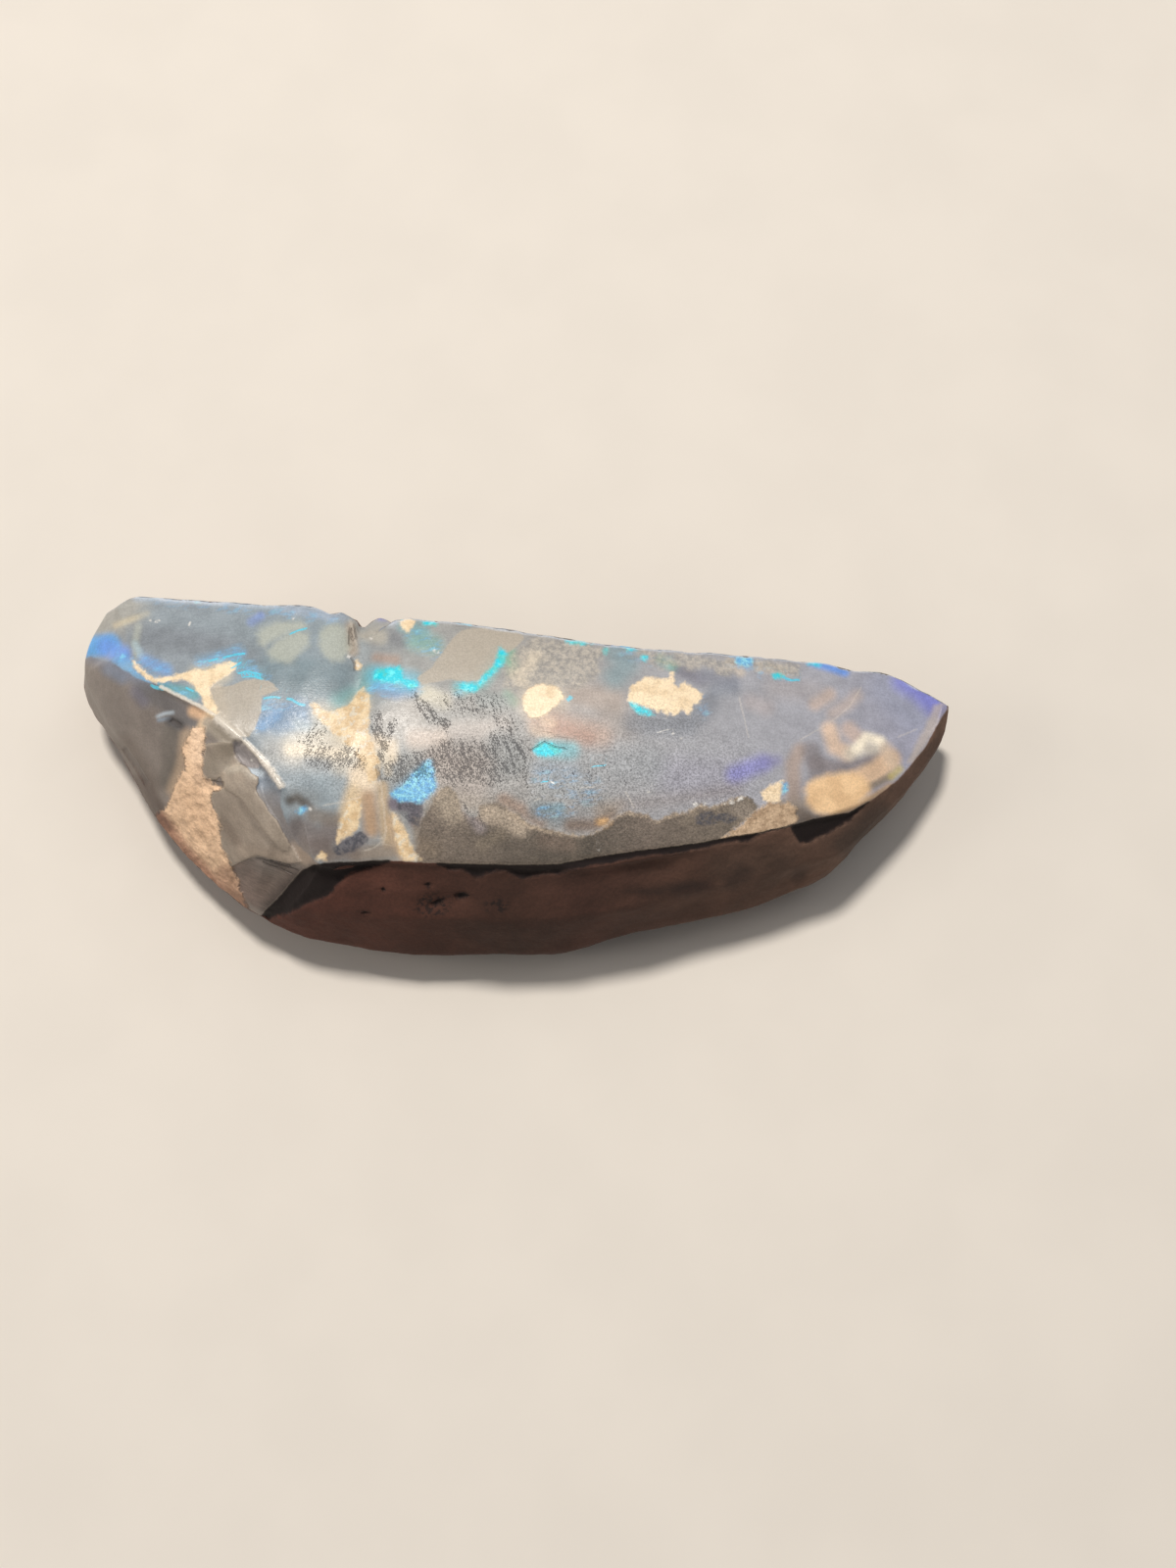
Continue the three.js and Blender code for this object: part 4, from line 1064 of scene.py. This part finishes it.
def facet_colour(s):
    """The slanting facet: smooth above, with plates, a scratched step and a hollow below."""
    facet = s.attribute("facet_colour", "Color")
    colour = s.grained(facet, 0.9, (0.3, 0.7), (0.9, 1.1))
    ribs = s.noise(0.34, detail=5, stretch=(1, 3.4, 1), turn=0.55)
    plate = s.shade(s.attribute("plate_colour", "Color"), s.step(ribs, 0.34, 0.66, 0.94, 1.14))
    plate = s.shade(plate, s.step(s.attribute("raised_plates"), -0.04, 0.04, 1.0, 1.02))
    # Painted highlight: each plate is lighter just inside its edge.
    plate = s.shade(plate, s.step(s.attribute("plates"), 0.02, 0.1, 1.15, 1.0))
    colour = s.mix(s.mask("plates", 0.02, 0.05, 0.3), colour, plate)
    step = s.grained(facet, 0.1, (0.34, 0.66), (0.78, 1.14), roughness=0.65, stretch=(12, 1, 1), turn=-0.38)
    colour = s.mix(s.mask("scratched_step", 0.03, 0.05, 0.3), colour, step)
    scoop = s.shade(srgb(150, 143, 142), s.step(ribs, 0.36, 0.64, 0.84, 1.16))
    return s.mix(s.mask("scoop", 0.05, 0.04, 0.3), colour, scoop)


def potch_colour(s):
    """The dull grey-brown strip above the long edge, with a pale crust along its upper rim."""
    colour = s.attribute("potch_colour", "Color")
    colour = s.grained(colour, 0.5, (0.32, 0.68), (0.84, 1.16), detail=5, roughness=0.65)
    lumps = s.step(s.noise(0.3, detail=3, roughness=0.55), 0.36, 0.6, 0.35, 0.85)
    crust = s.calc("MULTIPLY", s.line("crust_rim", soft=0.7, wobble=0.6), lumps)
    colour = s.mix(crust, colour, srgb(172, 154, 134))
    colour = s.grained(colour, 0.09, (0.32, 0.68), (0.8, 1.2), detail=3, roughness=0.7)
    flecks = s.noise(0.15, detail=3, roughness=0.7, shift=5.0)
    colour = s.shade(colour, s.step(flecks, 0.32, 0.42, 0.72, 1.0))
    return s.shade(colour, s.step(flecks, 0.6, 0.7, 1.0, 1.25))


def opal_colour(s):
    """The ground face and the facet, with every marking in the order that they overlap."""
    dark = s.step(s.noise(0.16, detail=3, roughness=0.65), 0.4, 0.6, 0.95, 0.42)
    crumb = s.attribute("crumb_colour", "Color")
    # Painted shade: the crumbs' colour follows the same noise as their bump, darker in the hollows and
    # lighter on the tops.
    crumb = s.grained(crumb, 0.5, (0.32, 0.6), (0.84, 1.1), detail=5, roughness=0.55)
    crust = s.tones((168, 141, 114), (202, 174, 144), 0.34, (0.36, 0.6), detail=5)
    # The milky white spots on the golden fan are partly its own colour and partly painted highlight, the
    # glare that falls there.
    milky = s.step(s.noise(0.28, roughness=0.5, shift=8.0), 0.52, 0.62, 0.0, 0.55)
    golden = s.tones((238, 212, 172), (214, 182, 138), 0.4, (0.4, 0.62))
    cream = s.tones((244, 221, 187), (224, 199, 163), 0.5, (0.44, 0.68))
    orange = s.tones((244, 206, 160), (226, 188, 144), 0.8, (0.4, 0.64), detail=3, roughness=0.5)
    azure = s.tones((98, 160, 212), (148, 212, 230), 0.16, (0.4, 0.62), roughness=0.65)
    green = s.step(s.noise(0.6, detail=3, roughness=0.5, shift=3.0), 0.5, 0.62, 0.0, 0.6)
    cyan = s.tones((30, 196, 214), (100, 226, 232), 0.2, (0.46, 0.66), detail=3, roughness=0.5)
    colour = ground_colour(s)
    for share, marking in (
        (s.mask("facet", 0.06, 0.06, 0.5), facet_colour(s)),
        (s.mask("stone_grey", 0.05, 0.06, 0.4, 0.9), srgb(178, 168, 154)),
        (s.mask("olive", 0.2, 0.12, 0.4, 0.68), srgb(184, 186, 172)),
        (s.mask("potch", 0.1, 0.15, 0.24), potch_colour(s)),
        (s.calc("MULTIPLY", s.mask("dark_pits", 0.06, 0.1, 0.3, 0.9), dark), srgb(72, 72, 80)),
        (s.mask("crumbly", 0.08, 0.14, 0.25), crumb),
        (s.mask("crust", 0.1, 0.18, 0.3), crust),
        (s.mask("golden", 0.09, 0.12, 0.25, 0.85), s.mix(milky, golden, srgb(222, 222, 212))),
        (s.mask("cream", 0.08, 0.1, 0.2), cream),
        (s.mask("orange", 0.22, 0.08, 0.4), orange),
        (s.mask("azure", 0.12, 0.1, 0.22, 0.92), azure),
        (s.mask("cyan", 0.12, 0.1, 0.16), s.mix(green, cyan, srgb(92, 186, 168))),
        (s.line("cyan_lines", strength=0.8), srgb(84, 202, 228)),
        # Painted highlight: the bright strip along the ridge bead.
        (s.line("ridge", soft=0.7, strength=0.8), srgb(224, 214, 200)),
        # Painted highlight: the small bright glints.
        (s.line("painted_glints", soft=0.6, wobble=0.0, strength=0.75), srgb(228, 224, 218)),
        (s.line("hairs", wobble=0.8, strength=0.22), srgb(226, 216, 202)),
        # Painted shade: the grooves are darkened where shade falls in them.
        (s.line("grooves", strength=0.4), srgb(74, 64, 60)),
        # Painted highlight on the tip's bevel.
        (s.mask("tip_bevel_highlight", 0.14, 0.06, 0.4, 0.75), srgb(188, 176, 168)),
        (s.step(s.attribute("upper"), 0.0, 0.09, 0.3, 0.0), srgb(160, 144, 128)),
        # Painted highlight along the back rim, where it faces the light.
        (s.calc("MULTIPLY", s.attribute("rim"), 0.7), srgb(206, 212, 222)),
    ):
        colour = s.mix(share, colour, marking)

    # The frosting: fine light and dark grain, much stronger where sanded, where its bright grains are
    # painted glints.
    frosting = s.step(s.noise(0.075, detail=3, roughness=0.75), 0.36, 0.64)
    sanded = s.attribute("sanding")
    return s.shade(colour, s.blend(frosting, s.blend(sanded, 0.9, 0.66), s.blend(sanded, 1.09, 1.4)))


def rock_colour_in_shade(s):
    """The broken walls: red-brown host rock darkened as painted shade, with a dark band and painted shadow
    under the long edge, pits, and the opal at the back.
    """
    rock = s.grained(s.attribute("rock_colour_in_shade", "Color"), 1.8, (0.32, 0.68), (0.8, 1.15))
    rock = s.grained(rock, 0.12, (0.3, 0.7), (0.86, 1.12), roughness=0.7)
    rock = s.mix(s.mask("smudged", 0.3, 0.2, 0.6, 0.6), rock, srgb(44, 32, 28))
    holes = s.step(s.noise(0.22, roughness=0.65), 0.42, 0.54, 0.8, 0.0)
    rock = s.mix(s.calc("MULTIPLY", s.mask("pocked", 0.15, 0.15, 0.4), holes), rock, srgb(30, 21, 19))
    # The dark seam with the painted shadow at its ends.
    rock = s.mix(s.mask("dark_seam_and_shadow", 0.08, 0.07, 0.3), rock, srgb(22, 8, 6))

    ragged = s.calc("SUBTRACT", s.noise(1.6, roughness=0.5), 0.5)
    band = s.calc("MULTIPLY_ADD", ragged, 2.4, s.attribute("back_band"))
    opal = s.tones((118, 112, 106), (138, 146, 158), 1.2, (0.42, 0.58), roughness=0.5)
    flash = s.step(s.noise(0.9, detail=2, roughness=0.5, shift=6.0), 0.64, 0.68)
    glimpse = s.tones((70, 206, 222), (90, 130, 226), 2.5, (0.45, 0.55), detail=2, roughness=0.5)
    return s.mix(s.step(band, -0.08, 0.08), rock, s.mix(flash, opal, glimpse))


def relief_nodes(s, upper, pits):
    """Height of the finest relief in millimetres."""
    skin = s.noise(0.08, detail=3, roughness=0.65)
    height = s.calc("MULTIPLY", skin, s.blend(s.mask("potch", 0.1), 0.008, 0.024))
    scratches = s.noise(0.05, detail=2, roughness=0.5, stretch=(20, 1, 1), turn=0.04)
    crumbs = s.calc("MULTIPLY", s.mask("crumbly", 0.06, 0.1, 0.25), s.noise(0.5, detail=5, roughness=0.55))
    for form, rise in (
        (scratches, 0.003),
        (pits, -0.02),
        (crumbs, 0.2),
        (s.calc("MULTIPLY", s.mask("crust", 0.1, 0.18, 0.3), s.noise(0.2)), 0.08),
        (s.mask("plates", 0.03, 0.05, 0.3), 0.03),
        (s.mask("raised_plates", 0.06, 0.05, 0.3), 0.02),
        (s.line("grooves"), -0.03),
        (s.mask("cream", 0.05, 0.1, 0.2), 0.008),
    ):
        height = s.calc("MULTIPLY_ADD", form, rise, height)
    rock = s.calc("MULTIPLY", s.noise(0.4, detail=5), 0.05)
    rock = s.calc("MULTIPLY_ADD", s.mask("dark_seam_and_shadow", 0.03, 0.07, 0.35), -0.06, rock)
    return s.blend(upper, rock, height)


def pit_mask(s):
    """Cover of the pits that break up the gloss: fine dashes that gather in slanting streaks."""
    along = s.node("SeparateXYZ", {0: s.mm}, "X")
    levels = []
    for turn in (-0.5, 0.42):
        dashes = s.noise(0.056, detail=2, stretch=(0.85, 1.4, 1), turn=turn, shift=9.0)
        streaks = s.noise(0.17, detail=3, roughness=0.65, stretch=(0.7, 4.0, 1), turn=turn)
        levels.append(s.calc("MULTIPLY_ADD", s.calc("SUBTRACT", streaks, 0.5), 0.7, dashes))
    level = s.blend(s.step(along, CRACK_X - 0.3, CRACK_X + 0.3), *levels)
    share = s.attribute("pit_share")
    pits = s.step(s.calc("SUBTRACT", level, s.step(share, 0.0, 1.0, 0.72, 0.5)), 0.0, 0.04)
    pits = s.calc("MULTIPLY", s.step(share, 0.02, 0.2), pits)
    plain = s.calc("MAXIMUM", s.mask("cream", 0.05), s.mask("stone_grey", 0.05))
    return s.calc("MULTIPLY", pits, s.calc("SUBTRACT", 1.0, plain, clamp=True))


def opal_material():
    """The stone's one material: opal on its upper side, rock below, and how glossy each part is."""
    s = Shader("opal_surface")
    upper = s.mask("upper", 0.04, 0.03, 0.3)
    pits = pit_mask(s)
    colour = s.mix(upper, rock_colour_in_shade(s), opal_colour(s))
    # Painted shade: besides being rough, the pits are darkened in the base colour, where only their missing
    # gloss makes them dark.
    colour = s.mix(s.calc("MULTIPLY", pits, 0.62), colour, srgb(76, 74, 78))

    roughness = s.step(s.noise(0.12, detail=3), 0.3, 0.7, 0.28, 0.42)
    for share, value in (
        (s.attribute("sanding"), 0.5),
        (s.mask("facet", 0.2), 0.42),
        (s.mask("potch", 0.1), 0.55),
        (s.mask("crumbly", 0.1), 0.75),
        (s.mask("crust", 0.1), 0.75),
        (s.line("ridge"), 0.28),
        (pits, 0.85),
    ):
        roughness = s.blend(share, roughness, value)

    bump = {"Strength": 1.0, "Distance": MM, "Height": relief_nodes(s, upper, pits)}
    # Painted glow: the cyan and azure flashes give off a little light of their own, though they are no lamp.
    flash = s.calc("ADD", s.mask("cyan", 0.1, 0.08, 0.16, 0.1), s.mask("azure", 0.1, 0.1, 0.22, 0.06))
    return s.finish({
        "Base Color": colour,
        "Roughness": s.blend(upper, 0.85, roughness),
        "Normal": s.node("Bump", bump),
        "IOR": 1.45,
        "Emission Color": srgb(60, 220, 240),
        "Emission Strength": flash,
    })


def floor_material():
    s = Shader("floor")
    colour = s.grained(srgb(224, 216, 206), 6.0, (0.3, 0.7), (0.98, 1.01), detail=3, roughness=0.5)
    return s.finish({"Base Color": colour, "Roughness": 0.8})


def make_camera():
    """The camera that took the picture, as solved from the box that the stone lies in."""
    data = bpy.data.cameras.new("camera")
    data.sensor_width = SENSOR_MM
    data.lens = SENSOR_MM * FOCAL_PX / PICTURE_HEIGHT
    data.clip_start = NEAR
    data.clip_end = FAR
    camera = bpy.data.objects.new("camera", data)
    bpy.context.scene.collection.objects.link(camera)
    turn = Matrix((RIGHT, UP, -FORWARD)).transposed().to_4x4()
    camera.matrix_world = Matrix.Translation(Vector(EYE)) @ turn
    bpy.context.scene.camera = camera


def make_light(name, direction, distance, size, watts, colour, target):
    """A round light at a distance from its target, facing it."""
    data = bpy.data.lights.new(name, "AREA")
    data.shape = "DISK"
    data.size = size
    data.energy = watts
    data.color = colour
    light = bpy.data.objects.new(name, data)
    bpy.context.scene.collection.objects.link(light)
    way = Vector(direction).normalized()
    light.location = Vector(target) + way * distance
    light.rotation_euler = way.to_track_quat("Z", "Y").to_euler()


def make_stage():
    """The floor, three lights and a faint light from all round."""
    floor_mesh = bpy.data.meshes.new("floor")
    corners = [(x * FLOOR_HALF, y * FLOOR_HALF, 0) for x, y in ((-1, -1), (1, -1), (1, 1), (-1, 1))]
    floor_mesh.from_pydata(corners, [], [(0, 1, 2, 3)])
    floor_mesh.materials.append(floor_material())
    floor = bpy.data.objects.new("floor", floor_mesh)
    bpy.context.scene.collection.objects.link(floor)

    for light in LIGHTS:
        make_light(*light)
    world = bpy.data.worlds.new("studio")
    world.use_nodes = True
    backdrop = world.node_tree.nodes["Background"]
    backdrop.inputs["Color"].default_value = (*SKY_COLOUR, 1)
    backdrop.inputs["Strength"].default_value = SKY_STRENGTH
    bpy.context.scene.world = world
    bpy.context.scene.view_settings.view_transform = "Standard"


make_camera()
make_stage()
stone = make_stone()
stone.data.materials.clear()
stone.data.materials.append(opal_material())
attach(stone, "root")
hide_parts("opal")
